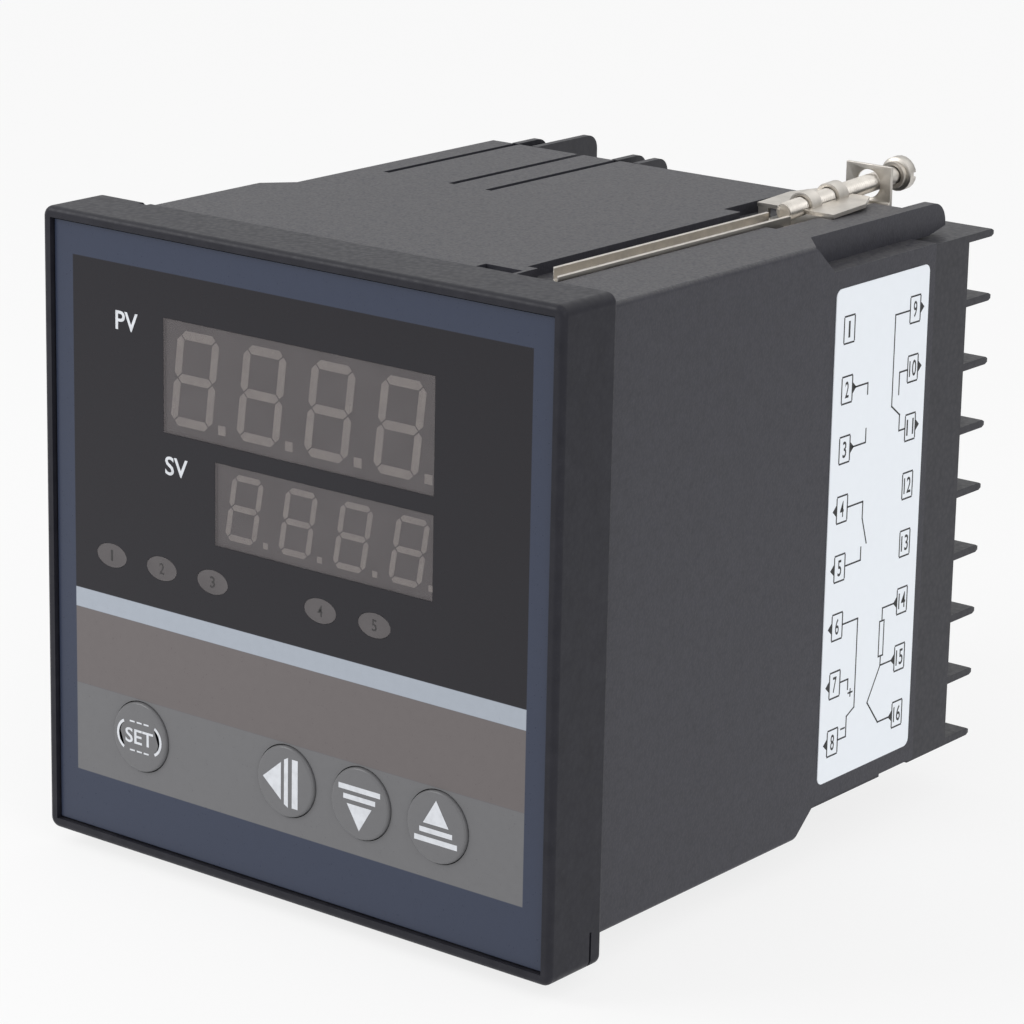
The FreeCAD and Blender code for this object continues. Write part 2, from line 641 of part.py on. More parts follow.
def segment_outlines(across, up, high, wide, stroke, lean):
    """Return the seven six-sided segments of one slanted digit about its centre."""
    half = "(%s - %s) / 2" % (high, stroke)
    side = "(%s - %s) / 2" % (wide, stroke)
    slim = "(%s / 2)" % stroke
    gap = "segment_gap"

    def slanted(points):
        """Lean points about the digit's centre and move them to their place."""
        placed = []
        for right, above in points:
            placed.append(("(%s) + (%s) + (%s) * %s" % (across, right, above, lean), "(%s) + (%s)" % (up, above)))
        return placed

    outlines = []
    for level in (half, "0", negative(half)):
        outlines.append(slanted([
            ("-(%s) + %s" % (side, gap), level),
            ("-(%s) + %s + %s" % (side, slim, gap), "%s - %s" % (level, slim)),
            ("%s - %s - %s" % (side, slim, gap), "%s - %s" % (level, slim)),
            ("%s - %s" % (side, gap), level),
            ("%s - %s - %s" % (side, slim, gap), "%s + %s" % (level, slim)),
            ("-(%s) + %s + %s" % (side, slim, gap), "%s + %s" % (level, slim)),
        ]))
    for place in (side, negative(side)):
        for foot in ("0", negative(half)):
            head = "(%s + %s)" % (foot, half)
            outlines.append(slanted([
                (place, "%s + %s" % (foot, gap)),
                ("%s + %s" % (place, slim), "%s + %s + %s" % (foot, slim, gap)),
                ("%s + %s" % (place, slim), "%s - %s - %s" % (head, slim, gap)),
                (place, "%s - %s" % (head, gap)),
                ("%s - %s" % (place, slim), "%s - %s - %s" % (head, slim, gap)),
                ("%s - %s" % (place, slim), "%s + %s + %s" % (foot, slim, gap)),
            ]))
    return outlines


def make_displays():
    """The two display modules and the segments on their faces."""
    for row in ("pv", "sv"):
        module = block(row + "_module", "{0}_x - {0}_module_wide / 2".format(row),
                       "{0}_x + {0}_module_wide / 2".format(row), MODULE_FRONT, BOARD_FRONT,
                       "{0}_z - {0}_module_high / 2".format(row), "{0}_z + {0}_module_high / 2".format(row))
        node(module, row + "_display")
        digits = Moulding(row + "_segments", several=True)
        first = "({0}_x + {0}_shift - {0}_digit_pitch * (digit_count - 1) / 2)".format(row)
        outlines = segment_outlines(first, row + "_z", row + "_digit_high", row + "_digit_wide",
                                    row + "_stroke", row + "_lean")
        point_x = "{0} + {1}_digit_pitch / 2 - {1}_digit_high / 2 * {1}_lean - {1}_dot / 2".format(first, row)
        point_z = "{0}_z - {0}_digit_high / 2 + {0}_dot".format(row)
        outlines.append(centred(point_x, point_z, "2 * %s_dot" % row, "2 * %s_dot" % row))
        face = digits.pad("XZ_Plane", "%s - segment_thick" % MODULE_FRONT, MODULE_FRONT, outlines)
        digits.repeat([face], "X_Axis", row + "_digit_pitch", "digit_count")
        node(digits.body, row + "_segments")


def make_keys():
    """Key caps with their stems, the push switches and their plungers."""
    switches = []
    for label, across in KEYS:
        key = Moulding(label)
        key.pad("XZ_Plane", FILM_FRONT + " - key_rise", CAP_BACK, circles=[(across, "key_z", "key_radius")])
        key.pad("XZ_Plane", CAP_BACK + " - key_skirt / 2", PLUNGER_TOP,
                [centred(across, "key_z", "key_stem", "key_stem")])
        crown = value(FILM_FRONT + " - key_rise")
        base = key.body.Tip
        names = []
        for index, edge in enumerate(base.Shape.Edges, start=1):
            if near(edge.CenterOfMass.y, crown):
                names.append("Edge%d" % index)
        rounding = key.body.newObject("PartDesign::Chamfer", label + "_rounding")
        rounding.Base = (base, names)
        bind(rounding, "Size", "key_round")
        key.body.Tip = rounding
        DOC.recompute()
        node(key.body, label)
        plunger = block(label + "_plunger", "%s - plunger_size / 2" % across, "%s + plunger_size / 2" % across,
                        PLUNGER_TOP, SWITCH_TOP + " + plunger_in",
                        "key_z - plunger_size / 2", "key_z + plunger_size / 2")
        node(plunger, label.replace("key", "plunger"))
        housing = block(label + "_housing", "%s - switch_size / 2" % across, "%s + switch_size / 2" % across,
                        SWITCH_TOP, BOARD_FRONT, "key_z - switch_size / 2", "key_z + switch_size / 2")
        well = block(label + "_well", "%s - plunger_size / 2 - plunger_gap" % across,
                     "%s + plunger_size / 2 + plunger_gap" % across, SWITCH_TOP + " - " + CUT_CLEAR,
                     SWITCH_TOP + " + plunger_well", "key_z - plunger_size / 2 - plunger_gap",
                     "key_z + plunger_size / 2 + plunger_gap")
        switches.append(cut(label + "_switch", housing, [well]))
    node(gather("switches", "Compound", switches), "push_switches")
    lamps = [block("led_%d" % index, "%s - led_wide / 2" % across, "%s + led_wide / 2" % across,
                   BOARD_FRONT + " - led_length", BOARD_FRONT, "lamp_z - led_high / 2", "lamp_z + led_high / 2")
             for index, across in enumerate(LAMPS)]
    node(gather("leds", "Compound", lamps), "indicator_leds")


def groove_plan():
    """Return the plan of the clamp groove in the top."""
    back = "case_depth + " + CUT_CLEAR
    return [
        ("clamp_x - groove_inner", "groove_front"),
        ("clamp_x + groove_right", "groove_front"),
        ("clamp_x + groove_right", "groove_wide"),
        ("clamp_x + groove_back_right", "groove_wide"),
        ("clamp_x + groove_back_right", back),
        ("clamp_x - groove_back_left", back),
        ("clamp_x - groove_back_left", "groove_hook"),
        ("clamp_x - groove_left", "groove_hook"),
        ("clamp_x - groove_left", "groove_step"),
        ("clamp_x - groove_inner", "groove_step"),
    ]


def mirrored_plan(points):
    """Return a plan outline on the other side of the centre plane."""
    return [(negative(across), along) for across, along in points]


def make_case():
    """Case: a square tube with rebated corners, clamp grooves and guide slots."""
    shell = Moulding("case_shell")
    shell.pad("XZ_Plane", "-case_seat", "case_depth",
              [rectangle("-case_width / 2", "case_width / 2", "-case_height / 2", "case_height / 2")])
    shell.fillet("case_corner", lambda middle, way, edge: abs(way.y) > 0.9)
    half_cavity = [
        (negative(IN_X), negative(NOTCH_Z)),
        (negative(NOTCH_X), negative(NOTCH_Z)),
        (negative(NOTCH_X), negative(IN_Z)),
        (negative(BOSS_RIGHT), negative(IN_Z)),
        (negative(BOSS_RIGHT), negative(BOSS_Z)),
        (negative(BOSS_LEFT), negative(BOSS_Z)),
        (negative(BOSS_LEFT), negative(IN_Z)),
        (NOTCH_LOW_X, negative(IN_Z)),
        (NOTCH_LOW_X, negative(NOTCH_Z)),
        (IN_X, negative(NOTCH_Z)),
    ]
    shell.pocket("XZ_Plane", "-case_seat - " + CUT_CLEAR, "case_depth + " + CUT_CLEAR,
                 [half_cavity + turned(half_cavity)])
    # corner rebates: a sloped end, then a square notch to the back
    outer_x = "(case_width / 2 + %s)" % CUT_CLEAR
    outer_z = "(case_height / 2 + %s)" % CUT_CLEAR
    for label, side, level, start, inset in (("top_right", 1, 1, "rebate_right", "rebate_side"),
                                             ("low_right", 1, -1, "rebate_right", "rebate_low_side"),
                                             ("top_left", -1, 1, "rebate_left", "rebate_side"),
                                             ("low_left", -1, -1, "rebate_left", "rebate_side")):
        edge_x = "case_width / 2"
        edge_z = "case_height / 2"
        inner_x = "(case_width / 2 - %s)" % inset
        inner_z = "(case_height / 2 - rebate_up)"
        ramp = shell.body.newObject("PartDesign::SubtractiveWedge", "case_ramp_" + label)
        bind(ramp, "Ymin", start)
        bind(ramp, "Ymax", "%s + rebate_ramp" % start)
        for axis, way, edge, inner, outer in (("X", side, edge_x, inner_x, outer_x),
                                              ("Z", level, edge_z, inner_z, outer_z)):
            low, high = (edge, outer) if way > 0 else (negative(outer), negative(edge))
            bind(ramp, axis + "min", low)
            bind(ramp, axis + "max", high)
            low, high = (inner, outer) if way > 0 else (negative(outer), negative(inner))
            bind(ramp, axis + "2min", low)
            bind(ramp, axis + "2max", high)
        DOC.recompute()
        shell.body.Tip = ramp
        left, right = (inner_x, outer_x) if side > 0 else (negative(outer_x), negative(inner_x))
        low, high = (inner_z, outer_z) if level > 0 else (negative(outer_z), negative(inner_z))
        shell.pocket("XZ_Plane", "%s + rebate_ramp" % start, "case_depth + " + CUT_CLEAR,
                     [rectangle(left, right, low, high)])
    # cheek behind the upper right corner
    cheek_foot = "(%s + slide_gap)" % BASE_TOP
    shell.pad("YZ_Plane", NOTCH_X, "case_width / 2 - rebate_side",
              [[("case_depth - " + CUT_CLEAR, cheek_foot),
                ("case_depth + cheek_long / 2", cheek_foot),
                ("case_depth + cheek_long", cheek_foot + " + cheek_under"),
                ("case_depth + cheek_long", "case_height / 2"),
                ("case_depth - " + CUT_CLEAR, "case_height / 2")]])
    cheek_end = value("case_depth + cheek_long")
    case_top = value("case_height / 2")
    shell.fillet("cheek_round", lambda middle, way, edge: near(middle.y, cheek_end) and near(middle.z, case_top))
    # clamp grooves, upper right and lower left
    plan = groove_plan()
    shell.pocket("XY_Plane", FLOOR_Z, outer_z, [plan])
    shell.pocket("XY_Plane", negative(outer_z), negative(FLOOR_Z), [mirrored_plan(plan)])
    # guide slots, upper left and lower right
    slots = []
    for place in ("slot_one", "slot_two", "slot_three"):
        slots.append(rectangle("-%s - slot_width / 2" % place, "-%s + slot_width / 2" % place,
                               "slot_start", "case_depth + " + CUT_CLEAR))
    shell.pocket("XY_Plane", IN_Z + " - " + CUT_CLEAR, outer_z, slots)
    shell.pocket("XY_Plane", negative(outer_z), negative(IN_Z) + " + " + CUT_CLEAR,
                 [mirrored_plan(slot) for slot in slots])
    # latch windows beside the grooves and slots for the anchors' lips
    latch = rectangle("latch_left", "latch_right", "latch_front", "latch_back")
    shell.pocket("XY_Plane", "case_height / 2 - latch_deep", outer_z, [latch])
    shell.pocket("XY_Plane", negative(outer_z), "latch_deep - case_height / 2", [mirrored_plan(latch)])
    slot_front = "anchor_y - lip_slot / 4"
    slot_back = "anchor_y + lip_slot * 3 / 4"
    lip_out = "(anchor_half - lip_edge)"
    right_slot = rectangle("clamp_x + groove_back_right - 0.1", "clamp_x + %s + lip_edge" % lip_out,
                           slot_front, slot_back)
    left_slot = rectangle("clamp_x - %s - lip_edge" % lip_out, "clamp_x - %s + lip_wide + lip_edge" % lip_out,
                          slot_front, slot_back)
    for lip_slot, drop in ((right_slot, "lip_down_right"), (left_slot, "lip_down_left")):
        slot_floor = "(%s - %s - lip_edge)" % (AXIS_Z, drop)
        shell.pocket("XY_Plane", slot_floor, outer_z, [lip_slot])
        shell.pocket("XY_Plane", negative(outer_z), negative(slot_floor), [mirrored_plan(lip_slot)])
    node(shell.body, "case_shell")


def clamp_placement(lower):
    """Return where an upright clamp piece goes: on the top, or turned under the case."""
    angle = value("clamp_tilt")
    place = FreeCAD.Placement(Vector(value("clamp_x"), value("anchor_y"), value(AXIS_Z)),
                              FreeCAD.Rotation(Vector(1, 0, 0), angle))
    return half_turn(lower) * place


def half_turn(lower):
    """Return half a turn about the depth axis for a lower piece, or no turn."""
    return FreeCAD.Placement(Vector(0, 0, 0), FreeCAD.Rotation(Vector(0, 1, 0), 180 if lower else 0))


def make_clamp(side, lower):
    """One clamp: the bar in its groove, the anchor, the screw and its washer."""
    bar = Moulding(side + "_clamp_bar")
    out = "(channel_wide / 2)"
    top = "(case_height / 2 + channel_rise)"
    bar.pad("XZ_Plane", "bar_front", "bar_flare + strip_thick",
            [[("clamp_x - %s" % out, STRIP_Z), ("clamp_x + %s" % out, STRIP_Z),
              ("clamp_x + %s" % out, top), ("clamp_x + %s - strip_thick" % out, top),
              ("clamp_x + %s - strip_thick" % out, STRIP_Z + " + strip_thick"),
              ("clamp_x - %s + strip_thick" % out, STRIP_Z + " + strip_thick"),
              ("clamp_x - %s + strip_thick" % out, top), ("clamp_x - %s" % out, top)]])
    bar.pad("XY_Plane", STRIP_Z, STRIP_Z + " + strip_thick",
            [rectangle("clamp_x - tab_wide / 2", "clamp_x + tab_wide / 2", "bar_flare", "tab_rear")])
    tab_low = STRIP_Z
    bar.pad("XZ_Plane", "tab_rear - strip_thick", "tab_rear",
            [rectangle("clamp_x - tab_wide / 2", "clamp_x + tab_wide / 2", tab_low, "tab_top")])
    bar.pocket("XZ_Plane", "tab_rear - 2 * strip_thick", "tab_rear + strip_thick",
               circles=[("clamp_x", "%s + (tab_rear - anchor_y) * tan(clamp_tilt)" % AXIS_Z, "tab_hole")])
    bar.pocket("XY_Plane", STRIP_Z + " - " + CUT_CLEAR, top + " + " + CUT_CLEAR,
               [[("clamp_x - %s - %s" % (out, CUT_CLEAR), "bar_front - " + CUT_CLEAR),
                 ("clamp_x + %s" % out, "bar_front - " + CUT_CLEAR),
                 ("clamp_x + %s" % out, "bar_front"),
                 ("clamp_x - %s" % out, "bar_front + bar_bevel"),
                 ("clamp_x - %s - %s" % (out, CUT_CLEAR), "bar_front + bar_bevel")]])
    inner = value(STRIP_Z + " + strip_thick")
    bend = value("tab_rear - strip_thick")
    bar.fillet("strip_thick * 0.8", lambda middle, way, edge: near(middle.z, inner) and near(middle.y, bend))
    bar.body.Placement = half_turn(lower)
    node(bar.body, side + "_clamp_bar")

    wing_top = "(-anchor_drop)"
    wing_low = "(-anchor_drop - anchor_thick)"
    plate = block(side + "_anchor_plate", "-anchor_half", "anchor_half", "0", "anchor_long", wing_low, wing_top)
    channel = "(screw_radius + loop_air)"
    gap = block(side + "_anchor_gap", negative(channel), channel, "-1", "anchor_long + 1",
                wing_low + " - 1", wing_top + " + 1")
    body = [cut(side + "_anchor_wings", plate, [gap])]
    for label, start in (("front", "loop_front"), ("back", "loop_back")):
        ring = rod(side + "_loop_" + label, channel + " + anchor_thick", "0", start, start + " + loop_long", "0")
        bore = rod(side + "_bore_" + label, channel, "0", start + " - 1", start + " + loop_long + 1", "0")
        below = block(side + "_below_" + label, "-anchor_half", "anchor_half", start + " - 1",
                      start + " + loop_long + 1", "-2 * screw_radius - 2", wing_low)
        body.append(cut(side + "_arch_" + label, ring, [bore, below]))
    lip_out = "(anchor_half - lip_edge)"
    body.append(block(side + "_lip_right", lip_out + " - lip_wide", lip_out, "0", "anchor_thick",
                      "-lip_down_right", wing_top))
    body.append(block(side + "_lip_left", negative(lip_out), negative(lip_out) + " + lip_wide",
                      "0", "anchor_thick", "-lip_down_left", wing_top))
    whole = gather(side + "_anchor_whole", "MultiFuse", body)
    corners = []
    for label, way in (("right", 1), ("left", -1)):
        wedge = DOC.addObject("Part::Wedge", side + "_corner_" + label)
        bind(wedge, "Ymin", "anchor_long - 2 * anchor_bevel")
        bind(wedge, "Ymax", "anchor_long + 0.01")
        bind(wedge, "Zmin", wing_low + " - 1")
        bind(wedge, "Zmax", wing_top + " + 1")
        bind(wedge, "Z2min", wing_low + " - 1")
        bind(wedge, "Z2max", wing_top + " + 1")
        near_edge, far_edge, inner_edge = "anchor_half", "anchor_half + 1", "anchor_half - anchor_bevel"
        if way > 0:
            bounds = (near_edge, far_edge, inner_edge, far_edge)
        else:
            bounds = (negative(far_edge), negative(near_edge), negative(far_edge), negative(inner_edge))
        for prop, text in zip(("Xmin", "Xmax", "X2min", "X2max"), bounds):
            bind(wedge, prop, text)
        corners.append(wedge)
    anchor = cut(side + "_anchor_cut", whole, corners)
    anchor.Placement = clamp_placement(lower)
    node(anchor, side + "_clamp_anchor")

    shank = rod(side + "_shank", "screw_radius", "0", "-screw_tip", "head_under + head_high / 2", "0")
    head = rod(side + "_head", "head_radius", "0", "head_under", "head_under + head_high", "0")
    solid = gather(side + "_screw_solid", "MultiFuse", [shank, head])
    slot = block(side + "_slot", "-head_radius - 1", "head_radius + 1", "head_under + head_high - head_slot_deep",
                 "head_under + head_high + 1", "-head_slot / 2", "head_slot / 2")
    screw = cut(side + "_screw_cut", solid, [slot])
    screw.Placement = clamp_placement(lower)
    node(screw, side + "_clamp_screw")

    disc = rod(side + "_disc", "washer_radius", "0", "head_under - washer_thick - 0.05", "head_under - 0.05", "0")
    hole = rod(side + "_hole", "screw_radius + washer_gap", "0", "head_under - washer_thick - 1",
               "head_under + 1", "0")
    washer = cut(side + "_washer_cut", disc, [hole])
    washer.Placement = clamp_placement(lower)
    node(washer, side + "_clamp_washer")


def make_terminal_base():
    """Rear moulding: plug, wall, two terminal columns with barriers, fins and vents."""
    base = Moulding("terminal_base")
    base.pad("XZ_Plane", "case_depth - base_plug", "case_depth",
             [rectangle(negative(PLUG_X), PLUG_X, negative(PLUG_Z), PLUG_Z)])
    base.pad("XZ_Plane", "case_depth", "case_depth + base_wall",
             [rectangle("-base_half_wide", "base_half_wide", BASE_FOOT, BASE_TOP)])
    columns = []
    for near_side, far_side in (("column_in", "base_half_wide"), ("-base_half_wide", "-column_in")):
        columns.append(rectangle(near_side, far_side, BASE_FOOT, BASE_TOP))
    base.pad("XZ_Plane", "case_depth + base_wall", COLUMN_BACK, columns)
    hollow_x = "(%s - base_plug_wall)" % PLUG_X
    hollow_z = "(%s - base_plug_wall)" % PLUG_Z
    base.pocket("XZ_Plane", "case_depth - base_plug - " + CUT_CLEAR, "case_depth",
                [rectangle(negative(hollow_x), hollow_x, negative(hollow_z), hollow_z)])
    # fins that stand behind the top
    for place, length, foot in (("fin_one", "fin_long", BASE_TOP + " - fin_thick"),
                                ("fin_two", "fin_two_long", BASE_TOP + " - fin_thick"),
                                ("fin_three", "fin_long", "fin_low"),
                                ("fin_four", "fin_long", "fin_low")):
        base.pad("YZ_Plane", "-%s - fin_thick / 2" % place, "-%s + fin_thick / 2" % place,
                 [rectangle("case_depth + slide_gap", "case_depth + " + length, foot, "case_height / 2")])
        tip = value("case_depth + " + length)
        top = value("case_height / 2")
        line = value("-" + place)
        base.fillet("fin_round", lambda middle, way, edge: near(middle.y, tip) and near(middle.z, top)
                    and abs(middle.x - line) < 1)
    # vent slots through the rear wall
    first_vent = "(vent_pitch * (vent_count - 1) / 2)"
    vent = base.pocket("XZ_Plane", "case_depth - " + CUT_CLEAR, "case_depth + base_wall + " + CUT_CLEAR,
                       [centred(negative(first_vent), "0", "vent_wide", "vent_high")])
    base.repeat([vent], "X_Axis", "vent_pitch", "vent_count")
    # barriers between the terminals
    barrier_plan = [
        (COLUMN_BACK + " - " + CUT_CLEAR, LOW_BARRIER + " - barrier_thick / 2"),
        (COLUMN_BACK + " + barrier_long - 2 * barrier_taper", LOW_BARRIER + " - barrier_thick / 2"),
        (COLUMN_BACK + " + barrier_long", LOW_BARRIER + " - barrier_thick / 2 + barrier_taper"),
        (COLUMN_BACK + " + barrier_long", LOW_BARRIER + " + barrier_thick / 2 - barrier_taper"),
        (COLUMN_BACK + " + barrier_long - 2 * barrier_taper", LOW_BARRIER + " + barrier_thick / 2"),
        (COLUMN_BACK + " - " + CUT_CLEAR, LOW_BARRIER + " + barrier_thick / 2"),
    ]
    right = base.pad("YZ_Plane", "barrier_in", "base_half_wide", [barrier_plan])
    left = base.pad("YZ_Plane", "-base_half_wide", "-barrier_in", [barrier_plan])
    base.repeat([right, left], "Z_Axis", TERMINAL_PITCH, "terminal_count + 1")
    # nests, cavities for the screws' ends and tail slots of the terminals
    nests = []
    cavities = []
    tails = []
    for sign in ("", "-"):
        middle = sign + "terminal_x"
        nests.append(centred(middle, LOW_TERMINAL, "nest_wide", "nest_high"))
        cavities.append(centred(middle, LOW_TERMINAL, CAVITY_SIZE, CAVITY_SIZE))
        tail_x = "%s(%s - tail_gap - tail_wide / 2)" % (sign, BOARD_INNER)
        tails.append(centred(tail_x, "%s + tail_up + tail_high / 2" % LOW_TERMINAL,
                             "tail_wide + 2 * tail_gap", "tail_high + 2 * tail_gap"))
    nest = base.pocket("XZ_Plane", NEST_FLOOR, COLUMN_BACK + " + nest_deep", nests)
    cavity = base.pocket("XZ_Plane", HEAD_FACE + " - wire_screw_long - 1", COLUMN_BACK, cavities)
    tail = base.pocket("XZ_Plane", "case_depth - " + CUT_CLEAR, COLUMN_BACK, tails)
    base.repeat([nest, cavity, tail], "Z_Axis", TERMINAL_PITCH, "terminal_count")
    node(base.body, "terminal_base")


def make_terminals():
    """Contacts, square clamps and screws of the sixteen terminals."""
    contacts = Moulding("terminal_contacts", several=True)
    plates = []
    bores = []
    tails = []
    clamps = []
    clamp_bores = []
    for sign in ("", "-"):
        middle = sign + "terminal_x"
        plates.append(centred(middle, LOW_TERMINAL, "contact_wide", "contact_high"))
        bores.append((middle, LOW_TERMINAL, "wire_screw_radius + wire_screw_gap"))
        tail_x = "%s(%s - tail_gap - tail_wide / 2)" % (sign, BOARD_INNER)
        tails.append(centred(tail_x, "%s + tail_up + tail_high / 2" % LOW_TERMINAL, "tail_wide", "tail_high"))
        clamps.append(centred(middle, LOW_TERMINAL, "washer_square", "washer_square"))
        clamp_bores.append((middle, LOW_TERMINAL, "wire_screw_radius + 2 * wire_screw_gap"))
    plate = contacts.pad("XZ_Plane", NEST_FLOOR, CLAMP_FACE, plates, bores)
    tail = contacts.pad("XZ_Plane", NEST_FLOOR + " - tail_long", NEST_FLOOR + " + contact_thick / 2", tails)
    contacts.repeat([plate, tail], "Z_Axis", TERMINAL_PITCH, "terminal_count")
    node(contacts.body, "terminal_contacts")

    squares = Moulding("terminal_clamps", several=True)
    square = squares.pad("XZ_Plane", CLAMP_FACE, HEAD_FACE, clamps, clamp_bores)
    squares.repeat([square], "Z_Axis", TERMINAL_PITCH, "terminal_count")
    node(squares.body, "terminal_clamps")

    screws = Moulding("terminal_screws", several=True)
    heads = []
    shanks = []
    slots = []
    for sign in ("", "-"):
        middle = sign + "terminal_x"
        heads.append((middle, LOW_TERMINAL, "wire_head_radius"))
        shanks.append((middle, LOW_TERMINAL, "wire_screw_radius"))
        slots.append(centred(middle, LOW_TERMINAL, "2 * wire_head_radius + 1", "head_slot"))
    shank = screws.pad("XZ_Plane", HEAD_FACE + " - wire_screw_long", HEAD_FACE + " + wire_head_high / 2",
                       circles=shanks)
    head = screws.pad("XZ_Plane", HEAD_FACE, HEAD_FACE + " + wire_head_high", circles=heads)
    slot = screws.pocket("XZ_Plane", HEAD_FACE + " + wire_head_high - head_slot_deep",
                         HEAD_FACE + " + wire_head_high + 1", slots)
    screws.repeat([shank, head, slot], "Z_Axis", TERMINAL_PITCH, "terminal_count")
    node(screws.body, "terminal_screws")


def make_label():
    """Wiring label on the right side."""
    label = Moulding("side_label")
    label.pad("YZ_Plane", "case_width / 2", "case_width / 2 + label_thick",
              [rectangle("label_front", "label_back", "-label_half_high", "label_half_high")])
    label.fillet("label_corner", lambda middle, way, edge: abs(way.x) > 0.9)
    node(label.body, "side_label")


def make_boards():
    """Circuit boards and the larger components that they carry."""
    node(block("board_panel", "-panel_board_half_wide", "panel_board_half_wide", BOARD_FRONT, BOARD_BACK,
               "-panel_board_half_high", "panel_board_half_high"), "display_board")
    front = BOARD_BACK + " + board_air"
    back = "case_depth - board_air"
    for label, left, right in (("power_board", negative(BOARD_OUTER), negative(BOARD_INNER)),
                               ("logic_board", BOARD_INNER, BOARD_OUTER)):
        node(block("piece_" + label, left, right, front, back, "-side_board_half_high", "side_board_half_high"),
             label)
    wall = negative(BOARD_INNER)
    core_right = wall + " + core_wide"
    core = block("core_block", wall, core_right, "core_front", "core_front + core_long",
                 "-core_half_high", "core_half_high")
    windows = []
    for label, low, high in (("low", "-core_half_high + core_limb", "-core_limb / 2 - coil_gap"),
                             ("high", "core_limb / 2 + coil_gap", "core_half_high - core_limb")):
        windows.append(block("core_window_" + label, wall + " - 1", core_right + " + 1",
                             "core_front + core_limb", "core_front + core_long - core_limb", low, high))
    node(cut("core_cut", core, windows), "transformer_core")
    coils = []
    for label, low, high in (("low", "-core_half_high + core_limb + coil_gap", "-core_limb / 2 - 2 * coil_gap"),
                             ("high", "core_limb / 2 + 2 * coil_gap", "core_half_high - core_limb - coil_gap")):
        coils.append(block("coil_" + label, wall + " + coil_gap", core_right + " + coil_over",
                           "core_front + core_limb + coil_gap", "core_front + core_long - core_limb - coil_gap",
                           low, high))
    coils.append(block("coil_over", core_right + " + coil_gap", core_right + " + coil_over",
                       "core_front + core_limb + coil_gap", "core_front + core_long - core_limb - coil_gap",
                       "-core_half_high + core_limb + coil_gap", "core_half_high - core_limb - coil_gap"))
    node(gather("coil_whole", "MultiFuse", coils), "transformer_coil")
    relays = []
    for label, middle in (("low", "-relay_z"), ("high", "relay_z")):
        relays.append(block("relay_" + label, wall, wall + " + relay_deep", "relay_front",
                            "relay_front + relay_long", "%s - relay_high / 2" % middle,
                            "%s + relay_high / 2" % middle))
    node(gather("relay_pair", "Compound", relays), "output_relays")
    can = DOC.addObject("Part::Cylinder", "can")
    can.Placement = FreeCAD.Placement(Vector(0, 0, 0), FreeCAD.Rotation(Vector(0, 1, 0), 90))
    bind(can, "Placement.Base.x", wall)
    bind(can, "Placement.Base.y", "can_y")
    bind(can, "Radius", "can_radius")
    bind(can, "Height", "can_long")
    node(can, "filter_capacitor")
    node(block("chip", BOARD_INNER + " - chip_thick", BOARD_INNER, "chip_y - chip_size / 2",
               "chip_y + chip_size / 2", "-chip_size / 2", "chip_size / 2"), "control_chip")
    headers = []
    for label, left, right in (("left", wall, wall + " + header_wide"),
                               ("right", BOARD_INNER + " - header_wide", BOARD_INNER)):
        headers.append(block("header_" + label, left, right, BOARD_BACK, BOARD_BACK + " + header_long",
                             "-header_half_high", "header_half_high"))
    node(gather("headers", "Compound", headers), "board_headers")


def write_parts():
    """Check every object, then write each sub-part to its own file."""
    DOC.recompute()
    for item in DOC.Objects:
        if "Invalid" in item.State or "Error" in item.State:
            raise ValueError("%s failed: %s" % (item.Name, item.State))
    for item in NODES:
        if item.Shape.isNull() or not item.Shape.isValid() or not item.Shape.Solids:
            raise ValueError("%s has no valid solid" % item.Label)
    os.makedirs("parts", exist_ok=True)
    for item in NODES:
        box = item.Shape.BoundBox
        print("%-20s %2d solids %9.1f mm3  x %7.2f %7.2f  y %7.2f %7.2f  z %7.2f %7.2f" % (
            item.Label, len(item.Shape.Solids), item.Shape.Volume, box.XMin, box.XMax, box.YMin, box.YMax,
            box.ZMin, box.ZMax))
        item.Shape.exportStep("parts/%s.step" % item.Label)


make_bezel()
make_film()
make_displays()
make_keys()
make_case()
make_clamp("top", lower=False)
make_clamp("bottom", lower=True)
make_terminal_base()
make_terminals()
make_label()
make_boards()
write_parts()
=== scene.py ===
"""Looks of a panel-mount process controller: finishes, print, rounded edges, threads and fasteners."""

import json
import logging
import math
from collections.abc import Callable, Sequence
from dataclasses import dataclass
from enum import Enum

import bmesh
import bpy
from mathutils import Matrix, Vector


